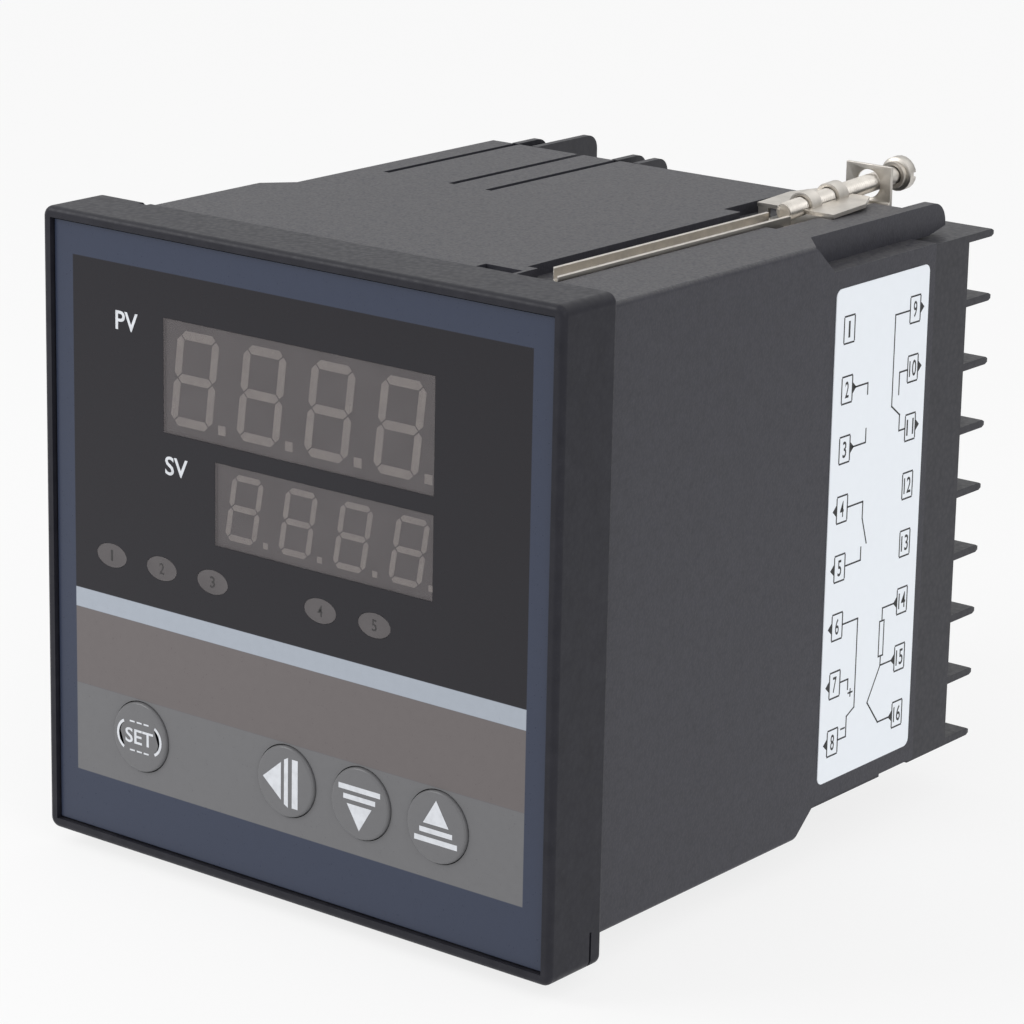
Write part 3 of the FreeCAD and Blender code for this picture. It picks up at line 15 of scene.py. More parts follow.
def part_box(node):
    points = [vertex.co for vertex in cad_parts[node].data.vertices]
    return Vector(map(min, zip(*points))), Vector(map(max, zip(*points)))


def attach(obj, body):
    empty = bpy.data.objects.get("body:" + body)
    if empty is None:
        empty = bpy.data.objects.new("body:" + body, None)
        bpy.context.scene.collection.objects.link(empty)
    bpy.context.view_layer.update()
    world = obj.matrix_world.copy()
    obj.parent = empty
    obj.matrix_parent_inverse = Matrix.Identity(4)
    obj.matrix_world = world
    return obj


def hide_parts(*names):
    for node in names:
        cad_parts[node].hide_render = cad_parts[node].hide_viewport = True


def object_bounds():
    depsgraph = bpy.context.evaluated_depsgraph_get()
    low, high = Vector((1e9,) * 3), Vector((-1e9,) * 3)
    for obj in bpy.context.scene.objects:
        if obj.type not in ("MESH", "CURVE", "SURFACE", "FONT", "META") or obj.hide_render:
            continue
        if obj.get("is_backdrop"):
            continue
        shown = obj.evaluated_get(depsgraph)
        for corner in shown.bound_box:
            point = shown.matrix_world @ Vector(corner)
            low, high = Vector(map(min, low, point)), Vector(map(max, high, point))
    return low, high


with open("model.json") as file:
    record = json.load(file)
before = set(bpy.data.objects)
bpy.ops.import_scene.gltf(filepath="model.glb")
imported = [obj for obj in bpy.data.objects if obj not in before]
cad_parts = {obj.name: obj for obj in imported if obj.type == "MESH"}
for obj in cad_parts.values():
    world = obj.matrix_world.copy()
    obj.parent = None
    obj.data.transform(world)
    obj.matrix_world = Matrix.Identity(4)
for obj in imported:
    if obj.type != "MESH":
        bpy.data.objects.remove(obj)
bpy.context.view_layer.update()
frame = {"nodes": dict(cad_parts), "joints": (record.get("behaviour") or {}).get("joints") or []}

log = logging.getLogger("controller")
MM = 0.001
ROOT_BODY = "controller"
Colour = tuple[float, float, float]
Point = tuple[float, float]
Outline = list[Point]
Socket = bpy.types.NodeSocket
Outputs = bpy.types.NodeOutputs


# ---- Node writing ----


class Graph:
    """Writes the nodes of one shader or geometry tree."""

    def __init__(self, tree: bpy.types.NodeTree) -> None:
        """Keep the tree that the nodes go into."""
        self.tree = tree

    def feed(self, socket: Socket, value: object) -> None:
        """Link a socket to another one, or set its plain value.

        Args:
            socket: The input.
            value: Another node's output, or the value itself.
        """
        if isinstance(value, Socket):
            self.tree.links.new(value, socket)
        else:
            socket.default_value = value

    def fill(self, node: bpy.types.Node, **inputs: object) -> None:
        """Feed several inputs of a node, named with underscores for spaces."""
        for name, value in inputs.items():
            self.feed(node.inputs[name.replace("_", " ")], value)

    def add(self, kind: str, settings: dict | None = None, **inputs: object) -> bpy.types.Node:
        """Add a node.

        Args:
            kind: The node's type.
            settings: Its properties, by name.
            **inputs: Its inputs, as for fill.

        Returns:
            The new node.
        """
        node = self.tree.nodes.new(kind)
        for name, value in (settings or {}).items():
            setattr(node, name, value)
        self.fill(node, **inputs)
        return node

    def group(self, tree: bpy.types.NodeTree, **inputs: object) -> Outputs:
        """Place a shader group with its own values and return its outputs."""
        return self.add("ShaderNodeGroup", {"node_tree": tree}, **inputs).outputs

    def maths(self, operation: str, *values: object) -> Socket:
        """Add a Math node.

        Args:
            operation: What it does.
            *values: Its inputs in order.

        Returns:
            Its result.
        """
        node = self.add("ShaderNodeMath", {"operation": operation})
        for socket, value in zip(node.inputs, values):
            self.feed(socket, value)
        return node.outputs[0]

    def mix(self, factor: object, first: object, second: object, blend: str = "MIX") -> Socket:
        """Mix two colours.

        Args:
            factor: Share of the second colour.
            first: The first colour.
            second: The second colour.
            blend: The way they are blended.

        Returns:
            The mixed colour.
        """
        node = self.add("ShaderNodeMix", {"data_type": "RGBA", "blend_type": blend})
        for index, value in ((0, factor), (6, first), (7, second)):
            self.feed(node.inputs[index], value)
        return node.outputs[2]

    def stretch(self, value: object, low: float, high: float, to_low: float = 0.0,
                to_high: float = 1.0) -> Socket:
        """Map a range of values to another range, clamped, and return the result."""
        return self.add("ShaderNodeMapRange", {"clamp": True}, Value=value, From_Min=low, From_Max=high,
                        To_Min=to_low, To_Max=to_high).outputs["Result"]

    def place(self) -> Socket:
        """Return the place on the object, in metres."""
        return self.add("ShaderNodeTexCoord").outputs["Object"]

    def noise(self, place: Socket, scale: object, detail: float, roughness: float = 0.5) -> Socket:
        """Return soft noise from 0 to 1, its scale in patches a metre."""
        return self.add("ShaderNodeTexNoise", Vector=place, Scale=scale, Detail=detail,
                        Roughness=roughness).outputs["Fac"]

    def bump(self, height: Socket, depth: float, strength: float) -> Socket:
        """Return the normal of a surface with a relief of a depth in millimetres."""
        return self.add("ShaderNodeBump", Strength=strength, Distance=depth * MM,
                        Height=height).outputs["Normal"]


def shade(colour: Colour, gain: float = 1.0, lift: float = 0.0) -> tuple[float, float, float, float]:
    """Return a colour with full cover, made stronger or weaker and lifted."""
    return (*(min(1.0, channel * gain + lift) for channel in colour), 1.0)


class Effects:
    """Shader groups that several finishes share, each built once."""

    def __init__(self) -> None:
        """Build every group."""
        self.grain = self._grain()
        self.wear = self._wear()
        self.dust = self._dust()
        self.print_field = self._print_field()
        self.drawing = self._drawing()

    @staticmethod
    def _open(name: str, inputs: dict[str, float], *outputs: str) -> tuple[Graph, Outputs]:
        """Start a group with named number inputs and outputs.

        Args:
            name: The group's name.
            inputs: Default value for each input.
            *outputs: Names of the outputs.

        Returns:
            The graph and what its inputs bring in.
        """
        tree = bpy.data.node_groups.new(name, "ShaderNodeTree")
        for label, value in inputs.items():
            socket = tree.interface.new_socket(label, in_out="INPUT", socket_type="NodeSocketFloat")
            socket.default_value = value
        for label in outputs:
            tree.interface.new_socket(label, in_out="OUTPUT", socket_type="NodeSocketFloat")
        return Graph(tree), tree.nodes.new("NodeGroupInput").outputs

    @staticmethod
    def _close(graph: Graph, **outputs: Socket) -> bpy.types.NodeTree:
        """Link the outputs of a group and return its tree."""
        graph.add("NodeGroupOutput", **outputs)
        return graph.tree

    def _grain(self) -> bpy.types.NodeTree:
        """Spark-eroded grain of a moulded surface: pits, pebbles and slow changes of tone.

        Returns:
            The group's tree.
        """
        graph, given = self._open("MouldGrain", {"Per Metre": 1100.0, "Pebble": 0.6}, "Height", "Tone",
                                  "Speck")
        place = graph.place()
        scale = given["Per Metre"]
        pebble = graph.add("ShaderNodeTexVoronoi", Vector=place, Scale=scale).outputs["Distance"]
        fine = graph.noise(place, graph.maths("MULTIPLY", scale, 1.7), 1.0, 0.62)
        slow = graph.noise(place, graph.maths("MULTIPLY", scale, 0.32), 1.0, 0.55)
        wide = graph.noise(place, 24.0, 1.0)
        coarse = graph.maths("MULTIPLY", pebble, given["Pebble"])
        small = graph.maths("MULTIPLY", fine, graph.maths("SUBTRACT", 1.0, given["Pebble"]))
        height = graph.maths("ADD", coarse, graph.maths("ADD", small, graph.maths("MULTIPLY", slow, 0.25)))
        drift = graph.maths("MULTIPLY_ADD", wide, 0.15, 0.425)
        tone = graph.maths("MULTIPLY_ADD", graph.maths("SUBTRACT", slow, 0.5), 1.1, drift)
        return self._close(graph, Height=height, Tone=tone, Speck=graph.stretch(fine, 0.60, 0.72))

    def _wear(self) -> bpy.types.NodeTree:
        """Rounded edges that handling has polished or paled, which also paints the highlight that rounded
        edges catch.

        Returns:
            The group's tree.
        """
        graph, given = self._open("EdgeWearAndHighlight", {"Amount": 0.5, "Per Metre": 420.0}, "Mask")
        edge = graph.add("ShaderNodeAttribute", {"attribute_name": "edge"}).outputs["Fac"]
        broken = graph.stretch(graph.noise(graph.place(), given["Per Metre"], 4.0), 0.35, 0.65)
        # Mask of the rounding: partly wear, partly a painted highlight on the edges.
        mask = graph.maths("MULTIPLY", edge, broken)
        return self._close(graph, Mask=graph.maths("MULTIPLY", mask, given["Amount"]))

    def _dust(self) -> bpy.types.NodeTree:
        """Fine dust that lies on faces turned upwards.

        Returns:
            The group's tree.
        """
        graph, given = self._open("Dust", {"Amount": 0.3, "Per Metre": 90.0}, "Mask")
        normal = graph.add("ShaderNodeNewGeometry").outputs["Normal"]
        up = graph.add("ShaderNodeSeparateXYZ", Vector=normal).outputs["Z"]
        cloud = graph.noise(graph.place(), given["Per Metre"], 3.0, 0.65)
        mask = graph.maths("MULTIPLY", graph.stretch(up, 0.4, 1.0), graph.stretch(cloud, 0.35, 0.75))
        return self._close(graph, Mask=graph.maths("MULTIPLY", mask, given["Amount"]))

    def _print_field(self) -> bpy.types.NodeTree:
        """Upright rectangle of ink on the front, with edges as soft as screen print.

        Returns:
            The group's tree.
        """
        graph, given = self._open("PrintField", {"Left": -1.0, "Right": 1.0, "Low": -1.0, "High": 1.0},
                                  "Mask")
        axes = graph.add("ShaderNodeSeparateXYZ", Vector=graph.place()).outputs
        soft = 0.05 * MM
        mask: object = 1.0
        for axis, low, high in (("X", "Left", "Right"), ("Z", "Low", "High")):
            for more, less in ((axes[axis], given[low]), (given[high], axes[axis])):
                inside = graph.stretch(graph.maths("SUBTRACT", more, less), -soft, soft)
                mask = graph.maths("MULTIPLY", mask, inside)
        return self._close(graph, Mask=mask)

    def _drawing(self) -> bpy.types.NodeTree:
        """Faint lines that rolling or turning leaves in metal, along the depth axis.

        Returns:
            The group's tree.
        """
        graph, given = self._open("DrawnLines", {"Per Metre": 2600.0, "Blotch": 260.0}, "Height", "Tone")
        place = graph.place()
        pulled = graph.add("ShaderNodeMapping", Vector=place, Scale=(1.0, 0.04, 1.0)).outputs["Vector"]
        return self._close(graph, Height=graph.noise(pulled, given["Per Metre"], 3.0),
                           Tone=graph.noise(place, given["Blotch"], 5.0, 0.6))


# ---- Finishes ----


class Finish:
    """A surface finish. Its material is made once, when it is first asked for."""

    name: str

    def write(self, graph: Graph, shader: bpy.types.Node, effects: Effects) -> None:
        """Write the nodes that feed the shader.

        Args:
            graph: The material's graph.
            shader: Its Principled BSDF.
            effects: The shared shader groups.
        """
        raise NotImplementedError

    def material(self, effects: Effects) -> bpy.types.Material:
        """Make the finish's material on the first call.

        Args:
            effects: The shared shader groups.

        Returns:
            The material.
        """
        made = bpy.data.materials.get(self.name)
        if made is None:
            made = bpy.data.materials.new(self.name)
            made.use_nodes = True
            self.write(Graph(made.node_tree), made.node_tree.nodes["Principled BSDF"], effects)
        return made


@dataclass(frozen=True)
class Moulded(Finish):
    """Moulded plastic with grain, dust, and polished edges that also carry a painted highlight."""

    name: str
    colour: Colour
    roughness: float = 0.5
    specular: float = 0.4
    speck: float = 0.1
    per_metre: float = 1100.0
    depth: float = 0.05
    tone: float = 0.1
    # Strength of the paled edges, which are partly wear and partly a painted highlight.
    wear: float = 0.35
    dust: float = 0.06
    dust_per_metre: float = 90.0
    dust_cover: float = 0.5

    def write(self, graph: Graph, shader: bpy.types.Node, effects: Effects) -> None:
        """Write the plastic's tones, specks, worn edges with their painted highlight, dust and relief."""
        grain = graph.group(effects.grain, Per_Metre=self.per_metre)
        wear = graph.group(effects.wear, Amount=self.wear)["Mask"]
        dust = graph.group(effects.dust, Amount=self.dust, Per_Metre=self.dust_per_metre)["Mask"]
        pale_wear_and_highlight = shade(self.colour, 1.6, 0.03)
        body = graph.mix(graph.stretch(grain["Tone"], 0.2, 0.8), shade(self.colour, 1.0 - self.tone),
                         shade(self.colour, 1.0 + self.tone, 0.004))
        body = graph.mix(graph.maths("MULTIPLY", grain["Speck"], self.speck), body, pale_wear_and_highlight)
        # Paler colour on the rounded edges: partly wear, partly a painted highlight.
        body = graph.mix(wear, body, pale_wear_and_highlight)
        body = graph.mix(graph.maths("MULTIPLY", dust, self.dust_cover), body, shade(Tint.DUST.value))
        rough = graph.stretch(grain["Height"], 0.2, 0.9, self.roughness - 0.07, self.roughness + 0.1)
        rough = graph.maths("MULTIPLY_ADD", wear, -0.12, rough)
        graph.fill(shader, Base_Color=body, Roughness=graph.maths("MULTIPLY_ADD", dust, 0.2, rough),
                   Specular_IOR_Level=self.specular, Normal=graph.bump(grain["Height"], self.depth, 0.6))


@dataclass(frozen=True)
class Plated(Finish):
    """Plated or bare metal with drawn lines and blotches."""

    name: str
    colour: Colour
    roughness: float = 0.3
    spread: float = 0.14
    wear: float = 0.4
    metallic: float = 1.0

    def write(self, graph: Graph, shader: bpy.types.Node, effects: Effects) -> None:
        """Write the metal's blotches, bright edges and drawn lines."""
        drawn = graph.group(effects.drawing)
        wear = graph.group(effects.wear, Amount=self.wear, Per_Metre=900.0)["Mask"]
        body = graph.mix(graph.stretch(drawn["Tone"], 0.3, 0.7), shade(self.colour, 0.74), shade(self.colour))
        rough = graph.stretch(drawn["Tone"], 0.3, 0.7, self.roughness + self.spread, self.roughness)
        graph.fill(shader, Base_Color=graph.mix(wear, body, shade(self.colour, 1.18, 0.02)), Roughness=rough,
                   Metallic=self.metallic, Normal=graph.bump(drawn["Height"], 0.01, 0.25))


@dataclass(frozen=True)
class FilmField:
    """One rectangle of ink on the film, in millimetres from the centre of the front."""

    left: float
    right: float
    low: float
    high: float
    colour: Colour


@dataclass(frozen=True)
class PrintedFilm(Finish):
    """Satin polyester film with fields of ink under it."""

    name: str
    ground: Colour
    fields: tuple[FilmField, ...]
    roughness: float = 0.28
    specular: float = 0.3

    def write(self, graph: Graph, shader: bpy.types.Node, effects: Effects) -> None:
        """Write the fields of ink and the film's satin surface."""
        colour: object = shade(self.ground)
        for area in self.fields:
            inside = graph.group(effects.print_field, Left=area.left * MM, Right=area.right * MM,
                                 Low=area.low * MM, High=area.high * MM)["Mask"]
            colour = graph.mix(inside, colour, shade(area.colour))
        grain = graph.group(effects.grain, Per_Metre=2200.0, Pebble=0.2)
        tone = graph.stretch(grain["Tone"], 0.2, 0.8, 0.98, 1.02)
        grey = graph.add("ShaderNodeCombineColor", Red=tone, Green=tone, Blue=tone).outputs["Color"]
        rough = graph.stretch(grain["Height"], 0.2, 0.9, self.roughness - 0.03, self.roughness + 0.05)
        graph.fill(shader, Base_Color=graph.mix(1.0, colour, grey, "MULTIPLY"), Roughness=rough,
                   Specular_IOR_Level=self.specular, Normal=graph.bump(grain["Height"], 0.012, 0.25))


@dataclass(frozen=True)
class SmokedPane(Finish):
    """Smoked, slightly hazy window of the film."""

    name: str
    colour: Colour
    cover: float = 0.42
    roughness: float = 0.16
    specular: float = 0.35

    def write(self, graph: Graph, shader: bpy.types.Node, effects: Effects) -> None:
        """Write the haze, which thickens the tint and dulls the shine."""
        grain = graph.group(effects.grain, Per_Metre=700.0, Pebble=0.1)
        haze = graph.stretch(grain["Tone"], 0.1, 0.9)
        graph.fill(shader, Base_Color=graph.mix(haze, shade(self.colour, 0.9), shade(self.colour)),
                   Alpha=graph.stretch(haze, 0.0, 1.0, self.cover - 0.03, self.cover + 0.03),
                   Roughness=graph.stretch(haze, 0.0, 1.0, self.roughness, self.roughness + 0.06),
                   Specular_IOR_Level=self.specular)


@dataclass(frozen=True)
class Ink(Finish):
    """Screen-printed ink: even, with a fine grain and thin places."""

    name: str
    colour: Colour
    roughness: float = 0.4

    def write(self, graph: Graph, shader: bpy.types.Node, effects: Effects) -> None:
        """Write the ink's cover and its fine grain."""
        grain = graph.group(effects.grain, Per_Metre=3000.0, Pebble=0.3)
        cover = graph.stretch(grain["Tone"], 0.15, 0.6)
        graph.fill(shader, Base_Color=graph.mix(cover, shade(self.colour, 0.86), shade(self.colour)),
                   Roughness=graph.stretch(grain["Height"], 0.2, 0.9, self.roughness, self.roughness + 0.12))


@dataclass(frozen=True)
class Paper(Finish):
    """Matt label stock with fibres and a little grime at its edges."""

    name: str
    colour: Colour

    def write(self, graph: Graph, shader: bpy.types.Node, effects: Effects) -> None:
        """Write the paper's tone, grime and fibres."""
        grain = graph.group(effects.grain, Per_Metre=1800.0, Pebble=0.15)
        wear = graph.group(effects.wear, Amount=0.25, Per_Metre=500.0)["Mask"]
        tone = graph.stretch(grain["Tone"], 0.2, 0.8)
        body = graph.mix(tone, shade(self.colour, 0.985), shade(self.colour))
        graph.fill(shader, Base_Color=graph.mix(wear, body, shade(Tint.GRIME.value)),
                   Roughness=graph.stretch(grain["Height"], 0.2, 0.9, 0.5, 0.66),
                   Normal=graph.bump(grain["Height"], 0.004, 0.2))


class Tint(Enum):
    """Base colours, as linear red, green and blue."""

    CASE = (0.027, 0.027, 0.036)
    BEZEL = (0.014, 0.014, 0.020)
    BASE = (0.018, 0.018, 0.024)
    FILM_BORDER = (0.032, 0.041, 0.071)
    FILM_BLACK = (0.009, 0.008, 0.012)
    FILM_STRIPE = (0.35, 0.385, 0.44)
    FILM_UPPER = (0.135, 0.120, 0.120)
    FILM_LOWER = (0.145, 0.145, 0.151)
    SEGMENT = (0.78, 0.71, 0.65)
    DISPLAY = (0.060, 0.055, 0.056)
    PANE = (0.16, 0.145, 0.15)
    LENS = (0.115, 0.105, 0.108)
    INK_PALE = (0.66, 0.68, 0.72)
    INK_BLACK = (0.012, 0.012, 0.013)
    INK_DIM = (0.022, 0.020, 0.021)
    LABEL = (0.84, 0.88, 0.93)
    NICKEL = (0.67, 0.635, 0.585)
    BRASS = (0.74, 0.66, 0.46)
    BOARD = (0.018, 0.10, 0.045)
    RESIN = (0.45, 0.42, 0.38)
    LAMINATION = (0.06, 0.06, 0.065)
    TAPE = (0.55, 0.42, 0.10)
    CAN = (0.70, 0.71, 0.73)
    DUST = (0.34, 0.33, 0.31)
    GRIME = (0.55, 0.55, 0.54)


# ---- Meshes ----


def ring(radius: float, depth: float, sides: int) -> list[Vector]:
    """Lay points round the depth axis, all in millimetres.

    Args:
        radius: The ring's radius, or 0 for a pole.
        depth: Its place along the axis.
        sides: Number of points.

    Returns:
        The points, or one point for a pole.
    """
    if radius == 0.0:
        return [Vector((0.0, depth, 0.0))]
    turns = [2 * math.pi * index / sides for index in range(sides)]
    return [Vector((radius * math.cos(turn), depth, radius * math.sin(turn))) for turn in turns]


class Workshop:
    """Makes objects, gives them their finish and hangs them on the frame."""

    def __init__(self, effects: Effects) -> None:
        """Keep the shared effects and count the pieces."""
        self.effects = effects
        self.count = 0

    def coat(self, finish: Finish, *nodes: str) -> None:
        """Give CAD nodes their finish without touching their meshes.

        Args:
            finish: The finish.
            *nodes: Names of the CAD nodes.
        """
        material = finish.material(self.effects)
        for node in nodes:
            item = frame["nodes"][node]
            if not item.material_slots:
                item.data.materials.append(material)
            for place in item.material_slots:
                place.material = material
            self.count += 1
            log.info("coated %s with %s", node, finish.name)

    def hang(self, piece: bpy.types.Object, finish: Finish, body: str, slot: str, *replaced: str) -> None:
        """Finish a new piece and fix it to a body.

        Args:
            piece: The object, with its place in its mesh.
            finish: Its finish.
            body: The body that it moves with.
            slot: The record's material slot; not used.
            *replaced: CAD nodes that it stands for.
        """
        piece.data.materials.clear()
        piece.data.materials.append(finish.material(self.effects))
        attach(piece, body)
        if replaced:
            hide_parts(*replaced)
        self.count += 1
        log.info("piece %s: %d faces on %s", piece.name, len(piece.data.polygons), body)

    @staticmethod
    def from_mesh(name: str, mesh: bpy.types.Mesh) -> bpy.types.Object:
        """Put a mesh into the scene.

        Args:
            name: The object's and the mesh's name.
            mesh: The mesh.

        Returns:
            The object.
        """
        mesh.name = name
        item = bpy.data.objects.new(name, mesh)
        bpy.context.scene.collection.objects.link(item)
        return item

    def from_work(self, name: str, work: bmesh.types.BMesh) -> bpy.types.Object:
        """Put an edited mesh into the scene.

        Args:
            name: The object's and the mesh's name.
            work: The edited mesh, which is freed.

        Returns:
            The object.
        """
        mesh = bpy.data.meshes.new(name)
        work.to_mesh(mesh)
        work.free()
        return self.from_mesh(name, mesh)

    @staticmethod
    def settle(item: bpy.types.Object) -> bpy.types.Mesh:
        """Turn an object's evaluated form into a plain mesh.

        Args:
            item: The object, which is removed.

        Returns:
            The mesh.
        """
        bpy.context.view_layer.update()
        graph = bpy.context.evaluated_depsgraph_get()
        mesh = bpy.data.meshes.new_from_object(item.evaluated_get(graph))
        source = item.data
        bpy.data.objects.remove(item)
        if source.users == 0 and isinstance(source, bpy.types.Mesh):
            bpy.data.meshes.remove(source)
        return mesh

    @staticmethod
    def smooth(mesh: bpy.types.Mesh, angle: float) -> None:
        """Shade a mesh smoothly but for edges sharper than an angle in degrees."""
        mesh.shade_smooth()
        mesh.set_sharp_from_angle(angle=math.radians(angle))

    def softened(self, node: str, width: float) -> bpy.types.Object:
        """Copy a CAD node with its sharp edges rounded.

        The face attribute "edge" is 1 on the rounding, for the wear and the painted edge highlight.

        Args:
            node: The CAD node.
            width: Width of the rounding in millimetres.

        Returns:
            The rounded copy.
        """
        work = bmesh.new()
        work.from_mesh(frame["nodes"][node].data)
        bmesh.ops.remove_doubles(work, verts=work.verts, dist=0.002 * MM)
        bmesh.ops.dissolve_limit(work, angle_limit=math.radians(0.6), verts=work.verts, edges=work.edges)
        bmesh.ops.triangulate(work, faces=[face for face in work.faces if len(face.verts) > 4])
        item = self.from_work(node + "_soft", work)
        for _ in ("flats", "rounding"):
            item.data.materials.append(None)
        rounding = item.modifiers.new("Rounding", "BEVEL")
        rounding.width = width * MM
        rounding.segments = 2
        rounding.limit_method = "ANGLE"
        rounding.angle_limit = math.radians(35.0)
        rounding.use_clamp_overlap = True
        rounding.miter_outer = "MITER_ARC"
        rounding.material = 1
        result = self.settle(item)
        rounded = [float(face.material_index) for face in result.polygons]
        result.attributes.new("edge", "FLOAT", "FACE").data.foreach_set("value", rounded)
        result.polygons.foreach_set("material_index", [0] * len(rounded))
        self.smooth(result, 50.0)
        item = self.from_mesh(node + "_flat", result)
        flatten = item.modifiers.new("FlatFaces", "WEIGHTED_NORMAL")
        flatten.keep_sharp = True
        return self.from_mesh(node + "_skin", self.settle(item))

    def plates(self, name: str, outlines: Sequence[Outline], place: Matrix, thick: float) -> bpy.types.Object:
        """Make thin closed plates from flat outlines.

        Args:
            name: The new object's name.
            outlines: Closed outlines, in millimetres, anticlockwise or not.
            place: Turns outline coordinates into the frame, in metres.
            thick: Thickness towards the viewer, in millimetres.

        Returns:
            The plates as one object.
        """
        work = bmesh.new()
        for outline in outlines:
            area = sum(a[0] * b[1] - b[0] * a[1] for a, b in zip(outline, outline[1:] + outline[:1]))
            points = outline if area > 0 else outline[::-1]
            back, front = ([work.verts.new(place @ (Vector((x, y, level)) * MM)) for x, y in points]
                           for level in (0.0, thick))
            work.faces.new(front)
            work.faces.new(back[::-1])
            for index, low in enumerate(back):
                following = (index + 1) % len(points)
                work.faces.new((low, back[following], front[following], front[index]))
        bmesh.ops.triangulate(work, faces=[face for face in work.faces if len(face.verts) > 4])
        return self.from_work(name, work)

    def lettering(self, text: str, size: Point, centre: Point, place: Matrix, thick: float,
                  weight: float) -> bpy.types.Mesh:
        """Make raised letters.

        Args:
            text: The letters.
            size: Total width and height of a capital, in millimetres.
            centre: Middle of the letters on the outline plane, in millimetres.
            place: Turns the outline plane into the frame, in metres.
            thick: Height of the ink, in millimetres.
            weight: Extra stroke width, in millimetres.

        Returns:
            The letters as a mesh.
        """
        curve = bpy.data.curves.new("letters", "FONT")
        curve.body = text
        curve.size = 1.0
        curve.extrude = 0.5
        curve.resolution_u = 4
        curve.offset = weight / size[1] * 0.7
        item = bpy.data.objects.new("letters", curve)
        bpy.context.scene.collection.objects.link(item)
        mesh = self.settle(item)
        bpy.data.curves.remove(curve)
        spans = [(min(values), max(values)) for values in
                 ([vertex.co[axis] for vertex in mesh.vertices] for axis in (0, 1))]
        middle = Vector([sum(span) / 2 for span in spans] + [0.0])
        across, up = (length / (high - low) for length, (low, high) in zip(size, spans))
        fit = Matrix.Diagonal((across * MM, up * MM, thick * MM, 1.0))
        shift = Matrix.Translation((centre[0] * MM, centre[1] * MM, thick / 2 * MM))
        mesh.transform(place @ shift @ fit @ Matrix.Translation(-middle))
        return mesh

    def joined(self, name: str, meshes: Sequence[bpy.types.Mesh]) -> bpy.types.Object:
        """Join meshes into one object with welded seams.

        Args:
            name: The new object's name.
            meshes: The meshes, which are used up.

        Returns:
            The object.
        """
        work = bmesh.new()
        for mesh in meshes:
            work.from_mesh(mesh)
            bpy.data.meshes.remove(mesh)
        bmesh.ops.remove_doubles(work, verts=work.verts, dist=0.0005 * MM)
        bmesh.ops.recalc_face_normals(work, faces=work.faces)
        return self.from_work(name, work)

    def lofted(self, name: str, rings: Sequence[Sequence[Vector]], place: Matrix) -> bpy.types.Object:
        """Skin a row of rings into a closed solid.

        Args:
            name: The new object's name.
            rings: Points in millimetres, as many in each ring, or one for a pole.
            place: Turns the points into the frame, in metres.

        Returns:
            The solid.
        """
        work = bmesh.new()
        made = [[work.verts.new(place @ (point * MM)) for point in points] for points in rings]
        for pair in zip(made, made[1:]):
            first, second = pair
            for index in range(max(map(len, pair))):
                corners = (first[index % len(first)], first[(index + 1) % len(first)],
                           second[(index + 1) % len(second)], second[index % len(second)])
                work.faces.new(list(dict.fromkeys(corners)))
        for end in (made[0], made[-1]):
            if len(end) > 1:
                work.faces.new(end)
        bmesh.ops.recalc_face_normals(work, faces=work.faces)
        return self.from_work(name, work)


def front_plane(depth: float) -> Matrix:
    """Return a plane that faces the user at a depth in metres: right is +X, up is +Z."""
    return Matrix(((1, 0, 0, 0), (0, 0, -1, depth), (0, 1, 0, 0), (0, 0, 0, 1)))


def right_plane(across: float) -> Matrix:
    """Return a plane that faces right at a place in metres: its right is +Y, its up is +Z."""
    return Matrix(((0, 0, 1, across), (1, 0, 0, 0), (0, 1, 0, 0), (0, 0, 0, 1)))


def box_outline(left: float, right: float, low: float, high: float) -> Outline:
    """Return the corners of a rectangle."""
    return [(left, low), (right, low), (right, high), (left, high)]


def stroke(start: Point, end: Point, width: float) -> Outline:
    """Draw a straight pen stroke with square ends.

    Args:
        start: Where it starts.
        end: Where it ends.
        width: Width of the pen.

    Returns:
        The stroke's outline.
    """
    way = Vector((end[0] - start[0], end[1] - start[1])).normalized() * (width / 2)
    side = Vector((-way.y, way.x))
    corners = (Vector(start) - way - side, Vector(end) + way - side, Vector(end) + way + side,
               Vector(start) - way + side)
    return [tuple(corner) for corner in corners]


def arc_band(centre: Point, radii: Point, width: float, start: float, end: float) -> Outline:
    """Return a band along part of an ellipse.

    Args:
        centre: Middle of the ellipse.
        radii: Its half axes.
        width: Width of the band.
        start: First angle, in degrees.
        end: Last angle, in degrees.

    Returns:
        The band's outline.
    """
    steps = 12
    outer = []
    inner = []
    for index in range(steps + 1):
        angle = math.radians(start + (end - start) * index / steps)
        for points, change in ((outer, width / 2), (inner, -width / 2)):
            points.append((centre[0] + (radii[0] + change) * math.cos(angle),
                           centre[1] + (radii[1] + change) * math.sin(angle)))
    return outer + inner[::-1]


# ---- Sub-assemblies ----


@dataclass
class SubAssembly:
    """Pieces that are dressed together."""

    shop: Workshop

    def build(self) -> None:
        """Make and dress the pieces."""
        raise NotImplementedError


